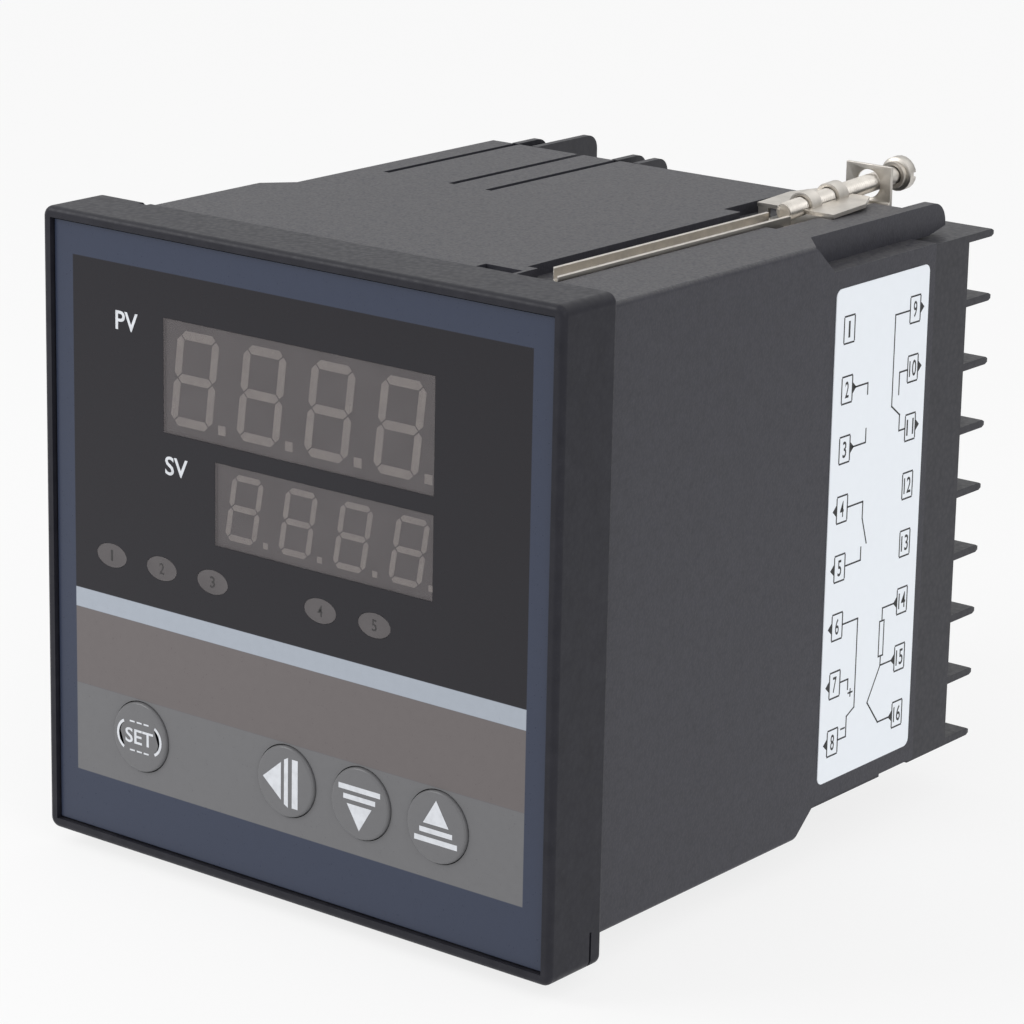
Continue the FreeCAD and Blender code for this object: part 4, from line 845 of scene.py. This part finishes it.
@dataclass
class FrontFrame(SubAssembly):
    """Front frame with its printed film and windows."""

    rounding: float = 0.22
    ink: float = 0.02
    name_size: Point = (4.4, 2.8)
    names: tuple[tuple[str, Point], ...] = (("PV", (-31.8, 33.0)), ("SV", (-22.1, 13.0)))
    fields: tuple[FilmField, ...] = (
        FilmField(-42.5, 42.5, -9.0, 41.4, Tint.FILM_BLACK.value),
        FilmField(-42.5, 42.5, -12.0, -9.0, Tint.FILM_STRIPE.value),
        FilmField(-42.5, 42.5, -23.9, -12.0, Tint.FILM_UPPER.value),
        FilmField(-42.5, 42.5, -37.6, -23.9, Tint.FILM_LOWER.value),
    )

    def film_finish(self) -> PrintedFilm:
        """Return the finish of the printed film."""
        return PrintedFilm("FilmPrint", Tint.FILM_BORDER.value, self.fields)

    def build(self) -> None:
        """Dress the frame, the film, the windows and the display names."""
        plastic = Moulded("BezelPlastic", Tint.BEZEL.value, roughness=0.4, specular=0.2, depth=0.03, wear=0.5)
        skin = self.shop.softened("front_bezel", self.rounding)
        self.shop.hang(skin, plastic, ROOT_BODY, "case_black", "front_bezel")
        self.shop.coat(self.film_finish(), "front_film")
        self.shop.coat(SmokedPane("WindowPane", Tint.PANE.value), "pv_window", "sv_window")
        self.shop.coat(SmokedPane("LensPane", Tint.LENS.value, cover=0.85), "indicator_lenses")
        place = front_plane(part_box("front_film")[0].y)
        letters = [self.shop.lettering(name, self.name_size, centre, place, self.ink, 0.05)
                   for name, centre in self.names]
        self.shop.hang(self.shop.joined("display_names", letters), Ink("InkPale", Tint.INK_PALE.value),
                       ROOT_BODY, "film_print")


@dataclass
class Displays(SubAssembly):
    """Display modules, segments and indicator lamps."""

    ink: float = 0.015
    digit_high: float = 1.7
    lamps: tuple[float, ...] = (-35.1, -25.1, -15.1, 5.4, 15.4)

    def build(self) -> None:
        """Give the displays their finishes and number the lamps."""
        face = Moulded("DisplayFace", Tint.DISPLAY.value, depth=0.003, tone=0.05, speck=0.0, wear=0.0,
                       dust=0.0)
        self.shop.coat(face, "pv_display", "sv_display")
        self.shop.coat(Ink("SegmentResin", Tint.SEGMENT.value, roughness=0.5), "pv_segments", "sv_segments")
        self.shop.coat(Ink("LampResin", Tint.RESIN.value, roughness=0.3), "indicator_leds")
        low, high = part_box("indicator_lenses")
        place = front_plane(low.y)
        up = (low.z + high.z) / 2 / MM
        digits = []
        for number, across in enumerate(self.lamps, 1):
            wide = 0.4 if number == 1 else 0.9
            digits.append(self.shop.lettering(str(number), (wide, self.digit_high), (across, up), place,
                                              self.ink, 0.02))
        self.shop.hang(self.shop.joined("lamp_numbers", digits), Ink("InkDim", Tint.INK_DIM.value), ROOT_BODY,
                       "film_print")


@dataclass
class Keypad(SubAssembly):
    """Key caps with their printed marks, each on its own body."""

    film: PrintedFilm
    ink: float = 0.02
    lift: float = 0.005
    cap_round: float = 0.42
    steps: int = 6
    stem: float = 1.8
    skirt: float = 1.35
    pale: Ink = Ink("InkPale", Tint.INK_PALE.value)

    def cap(self, name: str) -> tuple[Point, Matrix]:
        """Make one cap.

        Args:
            name: The key's CAD node.

        Returns:
            The cap's middle in millimetres and the plane just over its crown.
        """
        low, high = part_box(name)
        radius = (high.x - low.x) / 2 / MM
        total = (high.y - low.y) / MM
        middle = Vector(((low.x + high.x) / 2, low.y, (low.z + high.z) / 2))
        profile = [(0.0, 0.03), (radius * 0.45, 0.015)]
        for index in range(self.steps + 1):
            angle = math.pi / 2 * index / self.steps
            profile.append((radius - self.cap_round * (1 - math.sin(angle)),
                            self.cap_round * (1 - math.cos(angle))))
        profile += [(radius, self.skirt), (self.stem, self.skirt), (self.stem, total), (0.0, total)]
        piece = self.shop.lofted(name + "_cap", [ring(wide, depth, 64) for wide, depth in profile],
                                 Matrix.Translation(middle))
        self.shop.smooth(piece.data, 38.0)
        self.shop.hang(piece, self.film, name + "_cap", "key_grey", name)
        return (middle.x / MM, middle.z / MM), front_plane(low.y + self.lift * MM)

    def build(self) -> None:
        """Make the four caps and print their marks."""
        marks: dict[str, tuple[str, Callable[[], list[Outline]]]] = {
            "left_key": ("mark", self.left_mark), "down_key": ("mark", self.down_mark),
            "up_key": ("mark", self.up_mark), "set_key": ("frame", self.set_frame)}
        for name, (kind, draw) in marks.items():
            centre, place = self.cap(name)
            outlines = [[(x + centre[0], y + centre[1]) for x, y in outline] for outline in draw()]
            piece = self.shop.plates(f"{name}_{kind}", outlines, place, self.ink)
            self.shop.hang(piece, self.pale, name + "_cap", "film_print")
            if kind == "frame":
                letters = self.shop.lettering("SET", (5.6, 2.3), centre, place, self.ink, 0.04)
                self.shop.hang(self.shop.joined(name + "_name", [letters]), self.pale, name + "_cap",
                               "film_print")

    @staticmethod
    def left_mark() -> list[Outline]:
        """Draw the arrow that moves a digit to the left.

        Returns:
            Its tip, band and bar.
        """
        half = 3.7
        tip = -4.2
        base = 0.25
        head, front, back = (half * (x - tip) / (base - tip) for x in (-0.75, -0.15, 0.35))
        return [[(tip, 0.0), (-0.75, -head), (-0.75, head)],
                [(-0.15, -front), (0.6, -back), (0.6, back), (-0.15, front)],
                box_outline(1.35, 2.45, -half, half)]

    @staticmethod
    def down_mark() -> list[Outline]:
        """Return the arrow for a lower value: two bars and a tip."""
        return [box_outline(-3.85, 3.85, 1.7, 2.5), box_outline(-2.95, 2.95, 0.35, 1.1),
                [(-2.3, -0.3), (0.0, -4.0), (2.3, -0.3)]]

    @staticmethod
    def up_mark() -> list[Outline]:
        """Return the arrow for a higher value, which is the lower one turned over."""
        return [[(-x, -y) for x, y in outline] for outline in Keypad.down_mark()]

    @staticmethod
    def set_frame() -> list[Outline]:
        """Draw the broken frame round the settings key's name.

        Returns:
            Its two arcs and two dashed lines.
        """
        reach = 2.2
        radii = (2.1, 2.25)
        thin = 0.12
        shapes = [arc_band((-reach, 0.0), radii, 0.42, 115, 245),
                  arc_band((reach, 0.0), radii, 0.42, -65, 65)]
        for level in (-radii[1], radii[1]):
            for start in (-1.9, -0.5, 0.9):
                shapes.append(box_outline(start, start + 1.0, level - thin, level + thin))
        return shapes


@dataclass
class Housing(SubAssembly):
    """Case and terminal base."""

    case_rounding: float = 0.25
    base_rounding: float = 0.18

    def build(self) -> None:
        """Round the edges of both mouldings and give them their plastics."""
        case = Moulded("CasePlastic", Tint.CASE.value, roughness=0.45, speck=0.12, depth=0.05,
                       per_metre=2200.0, wear=0.4, dust=0.45, dust_per_metre=1500.0)
        base = Moulded("BasePlastic", Tint.BASE.value, roughness=0.45, depth=0.04, wear=0.4)
        for node, rounding, plastic, slot in (("case_shell", self.case_rounding, case, "case_black"),
                                              ("terminal_base", self.base_rounding, base, "base_black")):
            self.shop.hang(self.shop.softened(node, rounding), plastic, ROOT_BODY, slot, node)


@dataclass
class Clamps(SubAssembly):
    """The two screw clamps that hold the controller in its panel. Depths run along the screw's line."""

    rounding: float = 0.09
    pitch: float = 0.5
    core: float = 1.2
    crest: float = 1.46
    shank: float = 1.38
    tip: float = -3.2
    thread_end: float = 24.0
    head_under: float = 27.4
    head_high: float = 2.2
    slot_size: tuple[float, float, float] = (8.0, 2.2, 0.8)
    sides: int = 20
    nickel: Plated = Plated("NickelPlate", Tint.NICKEL.value)

    def build(self) -> None:
        """Dress both clamps."""
        for side in ("top", "bottom"):
            for node, body in ((side + "_clamp_bar", side + "_bar"), (side + "_clamp_anchor", ROOT_BODY)):
                skin = self.shop.softened(node, self.rounding)
                self.shop.hang(skin, self.nickel, body, "plated_steel", node)
            self.shop.coat(self.nickel, side + "_clamp_washer")
            self.screw(side)

    def axis(self, side: str) -> Matrix:
        """Find a clamp screw's line from the joint that turns it.

        Args:
            side: The clamp's name.

        Returns:
            Where the line starts and how it runs, with the head towards +Y.
        """
        joint = next(item for item in frame["joints"] if item["name"] == side + "_screw_turn")
        back = -Vector(joint["axis"]).normalized()
        across = Vector((1.0 if side == "top" else -1.0, 0.0, 0.0))
        turn = Matrix((across, back, across.cross(back).normalized())).transposed().to_4x4()
        return Matrix.Translation(Vector(joint["pos_m"])) @ turn

    def thread(self) -> list[list[Vector]]:
        """Cut the thread, which runs out towards the tip.

        Returns:
            Its rings, in millimetres.
        """
        rows = int((self.thread_end - self.tip) / self.pitch * 6)
        rings = []
        for row in range(rows + 1):
            depth = self.tip + (self.thread_end - self.tip) * row / rows
            runout = min(1.0, (depth - self.tip) / 0.6 + 0.25)
            points = []
            for index in range(self.sides):
                turn = index / self.sides
                rise = 1.0 - abs(2.0 * ((depth / self.pitch - turn) % 1.0) - 1.0)
                radius = self.core + (self.crest - self.core) * rise * runout
                points.append(Vector((radius * math.cos(2 * math.pi * turn), depth,
                                      radius * math.sin(2 * math.pi * turn))))
            rings.append(points)
        return rings

    def screw(self, side: str) -> None:
        """Make a clamp screw: cut thread, slotted head with a rounded rim.

        Args:
            side: The clamp's name.
        """
        low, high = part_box(side + "_clamp_screw")
        head = (high.x - low.x) / 2 / MM
        rear = self.head_under + self.head_high
        under = self.head_under
        profile = ((self.core, self.thread_end + 0.4), (self.shank, self.thread_end + 0.6),
                   (self.shank, under), (head - 0.25, under), (head, under + 0.2), (head, rear - 0.45),
                   (head - 0.25, rear - 0.12), (head - 0.75, rear))
        rings = self.thread() + [ring(radius, depth, self.sides) for radius, depth in profile]
        blank = self.shop.lofted(side + "_screw_blank", rings, Matrix())
        work = bmesh.new()
        bmesh.ops.create_cube(work, size=1.0, matrix=Matrix.Translation((0.0, rear * MM, 0.0))
                              @ Matrix.Diagonal((*(length * MM for length in self.slot_size), 1.0)))
        cutter = self.shop.from_work("driver_slot", work)
        slot = blank.modifiers.new("Slot", "BOOLEAN")
        slot.object = cutter
        slot.operation = "DIFFERENCE"
        slot.solver = "EXACT"
        result = self.shop.settle(blank)
        bpy.data.objects.remove(cutter)
        result.transform(self.axis(side))
        self.shop.smooth(result, 45.0)
        self.shop.hang(self.shop.from_mesh(side + "_clamp_screw_cut", result), self.nickel, side + "_screw",
                       "plated_steel", side + "_clamp_screw")


@dataclass
class Terminals(SubAssembly):
    """Screws, square clamps and contacts of the two terminal columns."""

    rows: int = 8
    head_radius: float = 2.9
    head_high: float = 2.2
    shank_radius: float = 1.4
    shank_long: float = 8.0
    slot_width: float = 0.8

    @staticmethod
    def head(graph: Graph, given: Outputs) -> Socket:
        """Write the nodes of one screw with a combination slot, its seat at the origin.

        Args:
            graph: The tree's graph.
            given: Outputs of the group's input node.

        Returns:
            The screw's geometry.
        """
        radius = given["Head Radius"]
        height = given["Head Height"]
        length = given["Shank Length"]

        def put(mesh: Socket, along: object, tilt: float = 0.0) -> Socket:
            """Tilt a mesh in degrees and move it along the depth axis."""
            shift = graph.add("ShaderNodeCombineXYZ", Y=along).outputs["Vector"]
            return graph.add("GeometryNodeTransform", Geometry=mesh, Translation=shift,
                             Rotation=(math.radians(tilt), 0.0, 0.0)).outputs["Geometry"]

        def rod(size: object, long: object, centre: object) -> Socket:
            """Return a cylinder along the depth axis."""
            return put(graph.add("GeometryNodeMeshCylinder", {"fill_type": "NGON"}, Vertices=32, Radius=size,
                                 Depth=long).outputs["Mesh"], centre, 90.0)

        def join(operation: str, *meshes: Socket) -> bpy.types.Node:
            """Add an exact Boolean that works with some meshes."""
            node = graph.add("GeometryNodeMeshBoolean", {"operation": operation, "solver": "EXACT"})
            for mesh in meshes:
                graph.tree.links.new(mesh, node.inputs["Mesh 2"])
            return node

        rim = graph.maths("MULTIPLY", height, 0.7)
        crown = graph.add("GeometryNodeMeshCone", {"fill_type": "NGON"}, Vertices=32, Radius_Bottom=radius,
                          Radius_Top=graph.maths("MULTIPLY", radius, 0.82),
                          Depth=graph.maths("SUBTRACT", height, rim)).outputs["Mesh"]
        whole = join("UNION", rod(radius, rim, graph.maths("MULTIPLY", rim, 0.5)), put(crown, rim, -90.0),
                     rod(given["Shank Radius"], length, graph.maths("MULTIPLY", length, -0.45)))
        bars = []
        for wide, high in ((graph.maths("MULTIPLY", radius, 3.0), given["Slot Width"]),
                           (given["Slot Width"], graph.maths("MULTIPLY", radius, 1.15))):
            size = graph.add("ShaderNodeCombineXYZ", X=wide, Y=height, Z=high).outputs["Vector"]
            bars.append(put(graph.add("GeometryNodeMeshCube", Size=size).outputs["Mesh"], height))
        slotted = join("DIFFERENCE", *bars)
        graph.tree.links.new(whole.outputs["Mesh"], slotted.inputs["Mesh 1"])
        return slotted.outputs["Mesh"]

    def tree(self, values: dict[str, object]) -> bpy.types.NodeTree:
        """Build the geometry tree that repeats a screw over two columns.

        Args:
            values: Its inputs by name, with the values that they start with.

        Returns:
            The tree.
        """
        tree = bpy.data.node_groups.new("TerminalScrews", "GeometryNodeTree")
        for label, value in values.items():
            kind = {int: "Int", float: "Float"}.get(type(value), "Material")
            socket = tree.interface.new_socket(label, in_out="INPUT", socket_type="NodeSocket" + kind)
            socket.default_value = value
        tree.interface.new_socket("Geometry", in_out="OUTPUT", socket_type="NodeSocketGeometry")
        graph = Graph(tree)
        given = tree.nodes.new("NodeGroupInput").outputs
        columns = tree.nodes.new("GeometryNodeJoinGeometry")
        step = graph.add("ShaderNodeCombineXYZ", Z=given["Pitch"]).outputs["Vector"]
        for way in (1.0, -1.0):
            start = graph.add("ShaderNodeCombineXYZ", X=graph.maths("MULTIPLY", given["Half Spacing"], way),
                              Y=given["Seat Depth"], Z=given["First Height"]).outputs["Vector"]
            line = graph.add("GeometryNodeMeshLine", Count=given["Rows"], Start_Location=start, Offset=step)
            tree.links.new(line.outputs["Mesh"], columns.inputs[0])
        turn = graph.add("FunctionNodeRandomValue", {"data_type": "FLOAT"}, Seed=7)
        turn.inputs[2].default_value = -0.5
        turn.inputs[3].default_value = 0.5
        angle = graph.add("ShaderNodeCombineXYZ", Y=turn.outputs[1]).outputs["Vector"]
        placed = graph.add("GeometryNodeInstanceOnPoints", Points=columns.outputs[0],
                           Instance=self.head(graph, given), Rotation=angle).outputs["Instances"]
        real = graph.add("GeometryNodeRealizeInstances", Geometry=placed).outputs["Geometry"]
        dressed = graph.add("GeometryNodeSetMaterial", Geometry=real, Material=given["Material"])
        graph.add("NodeGroupOutput", Geometry=dressed.outputs["Geometry"])
        return tree

    def build(self) -> None:
        """Dress the contacts and clamps, and make the sixteen screws."""
        nickel = Plated("NickelPlate", Tint.NICKEL.value)
        self.shop.coat(nickel, "terminal_clamps")
        self.shop.coat(Plated("ContactBrass", Tint.BRASS.value, roughness=0.35), "terminal_contacts")
        low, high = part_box("terminal_screws")
        radius = self.head_radius * MM
        values = {
            "Half Spacing": high.x - radius,
            "First Height": low.z + radius,
            "Pitch": (high.z - low.z - 2 * radius) / (self.rows - 1),
            "Rows": self.rows,
            "Seat Depth": high.y - self.head_high * MM,
            "Head Radius": radius,
            "Head Height": self.head_high * MM,
            "Slot Width": self.slot_width * MM,
            "Shank Radius": self.shank_radius * MM,
            "Shank Length": self.shank_long * MM,
            "Material": nickel.material(self.shop.effects),
        }
        host = self.shop.from_mesh("terminal_screw_host", bpy.data.meshes.new("terminal_screw_host"))
        repeat = host.modifiers.new("Repeat", "NODES")
        repeat.node_group = self.tree(values)
        for socket in repeat.node_group.interface.items_tree:
            if socket.in_out == "INPUT":
                repeat[socket.identifier] = values[socket.name]
        mesh = self.shop.settle(host)
        self.shop.smooth(mesh, 35.0)
        self.shop.hang(self.shop.from_mesh("terminal_screw_heads", mesh), nickel, ROOT_BODY, "plated_steel",
                       "terminal_screws")


@dataclass
class WiringLabel(SubAssembly):
    """Matt label on the right side: boxed terminal numbers with generic wiring symbols."""

    front_column: float = 60.8
    rear_column: float = 78.6
    top_row: float = 31.8
    pitch: float = 9.14
    box_wide: float = 2.8
    box_high: float = 4.1
    digit_high: float = 2.5
    line: float = 0.26
    ink: float = 0.015
    arrow_long: float = 0.95
    arrow_half: float = 0.85
    from_arrow: float = 2.1
    from_rear_arrow: float = 2.5
    from_box: float = 1.5
    bend: float = 5.6
    branch: float = 5.4
    plus: Point = (65.15, -2.3)
    minus: Point = (63.5, 1.5)
    resistor_half: float = 0.625
    resistor_line: float = 0.25
    arrow_right: tuple[int, ...] = (2, 3, 9, 10, 11)
    arrow_left: tuple[int, ...] = (4, 5, 6, 7, 8, 14, 15, 16)

    def middle(self, number: int) -> Point:
        """Return the middle of a terminal's box."""
        across = self.front_column if number <= 8 else self.rear_column
        return across, self.top_row - self.pitch * ((number - 1) % 8)

    @staticmethod
    def hollow_box(centre: Point, half_wide: float, half_high: float, thin: float) -> list[Outline]:
        """Return the four sides of an empty box.

        Args:
            centre: The box's middle.
            half_wide: Half its width, to the middle of its sides.
            half_high: Half its height, to the middle of its sides.
            thin: Half the width of the line.

        Returns:
            The sides' outlines.
        """
        across, up = centre
        level = [box_outline(across - half_wide, across + half_wide, up + way * half_high - thin,
                             up + way * half_high + thin) for way in (-1, 1)]
        upright = [box_outline(across + way * half_wide - thin, across + way * half_wide + thin,
                               up - half_high + thin, up + half_high - thin) for way in (-1, 1)]
        return level + upright

    def frame_of(self, number: int) -> list[Outline]:
        """Draw a terminal's box and its arrow head.

        Args:
            number: The terminal's number.

        Returns:
            Their outlines.
        """
        across, up = self.middle(number)
        thin = self.line / 2
        sides = self.hollow_box((across, up), self.box_wide / 2, self.box_high / 2, thin)
        way = 1 if number in self.arrow_right else -1
        if number in self.arrow_right + self.arrow_left:
            foot = across + way * (self.box_wide / 2 + thin)
            sides.append([(foot, up - self.arrow_half), (foot + way * self.arrow_long, up),
                          (foot, up + self.arrow_half)])
        return sides

    def wires(self) -> list[Outline]:
        """Draw the supply, two contacts, the output, a resistor and a thermocouple.

        Returns:
            The outlines of all lines. Each path runs from a terminal's row, in millimetres.
        """
        rows = {number: self.middle(number)[1] for number in range(1, 17)}
        after_arrow = self.front_column + self.from_arrow
        front = self.front_column + self.from_box
        bend = self.front_column + self.bend
        rear = self.rear_column - self.from_box
        before_arrow = self.rear_column - self.from_rear_arrow
        inner = self.rear_column - self.branch
        contact = inner + 2.3
        output = bend - 2.0
        plus_row = rows[7] + self.plus[1]
        minus_row = rows[8] + self.minus[1]
        paths = [
            [(after_arrow, rows[2]), (bend, rows[2]), (bend, rows[2] - 1.7)],
            [(after_arrow, rows[3]), (bend, rows[3]), (bend, rows[3] + 2.1)],
            [(front, rows[4]), (bend, rows[4]), (bend, rows[4] - 2.6), (bend + 1.4, rows[5] + 2.4)],
            [(front, rows[5]), (bend, rows[5]), (bend, rows[5] + 2.0)],
            [(front, rows[6]), (bend, rows[6]), (bend, rows[8] + 4.2), (output, rows[8] + 3.2),
             (output, rows[8]), (front, rows[8])],
            [(front, rows[7]), (front + self.from_arrow, rows[7]), (front + self.from_arrow, rows[7] - 1.6)],
            [(rear, rows[9]), (inner, rows[9]), (inner, rows[11] + 4.2), (contact, rows[11] + 2.5),
             (contact, rows[11]), (rear, rows[11])],
            [(rear, rows[10]), (inner + 1.8, rows[10]), (inner + 1.8, rows[10] - 3.4)],
            [(before_arrow, rows[14]), (inner, rows[14]), (inner, rows[14] - 1.9)],
            [(inner, rows[15] + 1.4), (inner, rows[15]), (before_arrow, rows[15])],
            [(inner, rows[15]), (inner - 3.2, rows[15] - 5.2), (inner, rows[16]), (before_arrow, rows[16])],
            [(self.plus[0] - 0.55, plus_row), (self.plus[0] + 0.55, plus_row)],
            [(self.plus[0], plus_row - 0.55), (self.plus[0], plus_row + 0.55)],
            [(self.minus[0] - 0.5, minus_row), (self.minus[0] + 0.5, minus_row)],
        ]
        lines = [stroke(start, end, self.line) for path in paths for start, end in zip(path, path[1:])]
        low = rows[15] + 1.4
        high = rows[14] - 1.9
        line = self.resistor_line
        reach = self.resistor_half - line / 2
        for left in (inner - reach - line, inner + reach):
            lines.append(box_outline(left, left + line, low, high))
        for bottom in (low, high - line):
            lines.append(box_outline(inner - reach, inner + reach, bottom, bottom + line))
        return lines

    def build(self) -> None:
        """Give the label its stock and print the numbers and lines on it."""
        self.shop.coat(Paper("LabelStock", Tint.LABEL.value), "side_label")
        black = Ink("InkBlack", Tint.INK_BLACK.value, roughness=0.5)
        place = right_plane(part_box("side_label")[1].x)
        outlines = self.wires()
        numbers = []
        for number in range(1, 17):
            outlines += self.frame_of(number)
            wide = 0.45 if number == 1 else 0.95 * len(str(number))
            numbers.append(self.shop.lettering(str(number), (wide, self.digit_high), self.middle(number),
                                               place, self.ink, 0.03))
        lines = self.shop.plates("label_lines", outlines, place, self.ink)
        self.shop.hang(lines, black, ROOT_BODY, "label_paper")
        self.shop.hang(self.shop.joined("label_numbers", numbers), black, ROOT_BODY, "label_paper")


@dataclass
class Interior(SubAssembly):
    """Boards and what they carry."""

    def build(self) -> None:
        """Give the inner pieces their finishes."""
        board = Moulded("SolderResist", Tint.BOARD.value, roughness=0.35, per_metre=400.0, depth=0.02,
                        tone=0.2, wear=0.2, dust=0.1)
        black = Moulded("ComponentPlastic", Tint.BASE.value, roughness=0.4, depth=0.02, wear=0.2, dust=0.0)
        coil = Moulded("CoilTape", Tint.TAPE.value, roughness=0.3, per_metre=300.0, depth=0.03)
        core = Plated("Lamination", Tint.LAMINATION.value, roughness=0.5, metallic=0.6)
        self.shop.coat(board, "display_board", "power_board", "logic_board")
        self.shop.coat(black, "push_switches", "control_chip", "board_headers", "output_relays")
        self.shop.coat(black, *(name + "_plunger" for name in ("set", "left", "down", "up")))
        self.shop.coat(core, "transformer_core")
        self.shop.coat(coil, "transformer_coil")
        self.shop.coat(Plated("CanAluminium", Tint.CAN.value, roughness=0.28), "filter_capacitor")


# ---- Studio ----


@dataclass
class Studio:
    """Pale floor, plain soft light and the camera. Angles are in degrees, lengths in metres."""

    azimuth: float = 38.017
    elevation: float = 14.939
    roll: float = -1.130
    place: tuple[float, float, float] = (0.34694, -0.40383, 0.16251)
    lens: float = 136.18
    shift: Point = (-0.00483, -0.0782)
    floor_size: float = 12.0
    floor_pale: Colour = (0.93, 0.93, 0.93)
    floor_dull: Colour = (0.90, 0.90, 0.90)
    white: float = 1.005
    paper_glow: float = 0.8
    bounce_near: float = 1.2
    bounce_far: float = 0.6
    room: float = 0.66
    ceiling: float = 1.25
    horizon: float = 0.5
    lamp_place: tuple[float, float, float] = (-0.25, -0.25, 0.22)
    lamp_size: float = 0.2
    key: float = 0.65
    fill: float = 0.72
    fill_way: tuple[float, float, float] = (-0.8, 0.3, -0.35)
    fill_spread: float = 60.0

    def camera(self) -> None:
        """Set the camera at its measured place and angle."""
        a, e, t = (math.radians(value) for value in (self.azimuth, self.elevation, self.roll))
        view = Vector((-math.sin(a) * math.cos(e), math.cos(a) * math.cos(e), -math.sin(e)))
        right = view.cross(Vector((0.0, 0.0, 1.0))).normalized()
        down = view.cross(right).normalized()
        across = right * math.cos(t) + down * math.sin(t)
        drop = down * math.cos(t) - right * math.sin(t)
        data = bpy.data.cameras.new("Camera")
        data.sensor_width = 36.0
        data.lens = self.lens
        data.shift_x, data.shift_y = self.shift
        data.clip_start = 0.01
        data.clip_end = 50.0
        camera = bpy.data.objects.new("Camera", data)
        turn = Matrix((across, -drop, -view)).transposed().to_4x4()
        camera.matrix_world = Matrix.Translation(self.place) @ turn
        bpy.context.scene.collection.objects.link(camera)
        bpy.context.scene.camera = camera

    def blend(self, graph: Graph, share: Socket, plain: object, seen: float) -> Socket:
        """Return one value where a share is 0 and another where it is 1."""
        return graph.maths("MULTIPLY_ADD", share, graph.maths("SUBTRACT", seen, plain), plain)

    def floor(self) -> None:
        """Lay a pale floor under the lowest point of the object."""
        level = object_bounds()[0].z - 0.0002
        half = self.floor_size / 2
        mesh = bpy.data.meshes.new("floor")
        corners = [(x, y, level) for x, y in box_outline(-half, half, -half, half)]
        mesh.from_pydata(corners, [], [(0, 1, 2, 3)])
        floor = Workshop.from_mesh("floor", mesh)
        material = bpy.data.materials.new("FloorPaper")
        material.use_nodes = True
        nodes = material.node_tree.nodes
        graph = Graph(material.node_tree)
        place = graph.place()
        cloud = graph.noise(place, 6.0, 3.0)
        graph.fill(nodes["Principled BSDF"],
                   Base_Color=graph.mix(cloud, shade(self.floor_dull), shade(self.floor_pale)),
                   Roughness=graph.stretch(cloud, 0.0, 1.0, 0.8, 0.9), Specular_IOR_Level=0.1)
        seen = graph.add("ShaderNodeLightPath").outputs["Is Camera Ray"]
        reach = graph.add("ShaderNodeVectorMath", {"operation": "LENGTH"}, Vector=place).outputs["Value"]
        bounce = graph.stretch(reach, 0.1, 1.6, self.bounce_near, self.bounce_far)
        glow = graph.add("ShaderNodeEmission", Color=(1.0, 1.0, 1.0, 1.0),
                         Strength=self.blend(graph, seen, bounce, self.white))
        paper = graph.add("ShaderNodeMixShader")
        for index, value in enumerate((graph.stretch(seen, 0.0, 1.0, 0.5, self.paper_glow),
                                       nodes["Principled BSDF"].outputs["BSDF"], glow.outputs["Emission"])):
            graph.feed(paper.inputs[index], value)
        graph.fill(nodes["Material Output"], Surface=paper.outputs["Shader"])
        floor.data.materials.append(material)
        floor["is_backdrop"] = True

    def room_light(self) -> None:
        """Light the room evenly: its mirror image is paler overhead, and the camera sees it white."""
        world = bpy.data.worlds.new("Room")
        bpy.context.scene.world = world
        world.use_nodes = True
        graph = Graph(world.node_tree)
        path = graph.add("ShaderNodeLightPath").outputs
        way = graph.add("ShaderNodeTexCoord").outputs["Generated"]
        up = graph.add("ShaderNodeSeparateXYZ", Vector=way).outputs["Z"]
        mirrored = graph.stretch(up, 0.05, 0.7, self.horizon, self.ceiling)
        strength = self.blend(graph, path["Is Glossy Ray"], self.room, mirrored)
        strength = self.blend(graph, path["Is Camera Ray"], strength, self.white)
        graph.fill(world.node_tree.nodes["Background"], Color=(1.0, 1.0, 1.0, 1.0), Strength=strength)

    def lamps(self) -> None:
        """Hang a soft lamp above the left of the front and a fill on the right."""
        key = bpy.data.lights.new("key", "AREA")
        key.energy = self.key
        key.size = self.lamp_size
        fill = bpy.data.lights.new("fill", "SUN")
        fill.energy = self.fill
        fill.angle = math.radians(self.fill_spread)
        for data, place, way in ((key, self.lamp_place, -Vector(self.lamp_place)),
                                 (fill, (0.0, 0.0, 0.0), Vector(self.fill_way))):
            lamp = bpy.data.objects.new(data.name, data)
            lamp.location = place
            lamp.rotation_mode = "QUATERNION"
            lamp.rotation_quaternion = way.to_track_quat("-Z", "Y")
            bpy.context.scene.collection.objects.link(lamp)

    def build(self) -> None:
        """Build the whole studio."""
        self.camera()
        self.floor()
        self.room_light()
        self.lamps()
        bpy.context.scene.view_settings.view_transform = "Standard"


def main() -> None:
    """Build every sub-assembly in order."""
    logging.basicConfig(level=logging.INFO, format="%(name)s: %(message)s")
    shop = Workshop(Effects())
    front = FrontFrame(shop)
    for part in (front, Displays(shop), Keypad(shop, front.film_finish()), Housing(shop), Clamps(shop),
                 Terminals(shop), WiringLabel(shop), Interior(shop)):
        part.build()
    Studio().build()
    log.info("%d pieces dressed", shop.count)


if __name__ == "__main__":
    main()
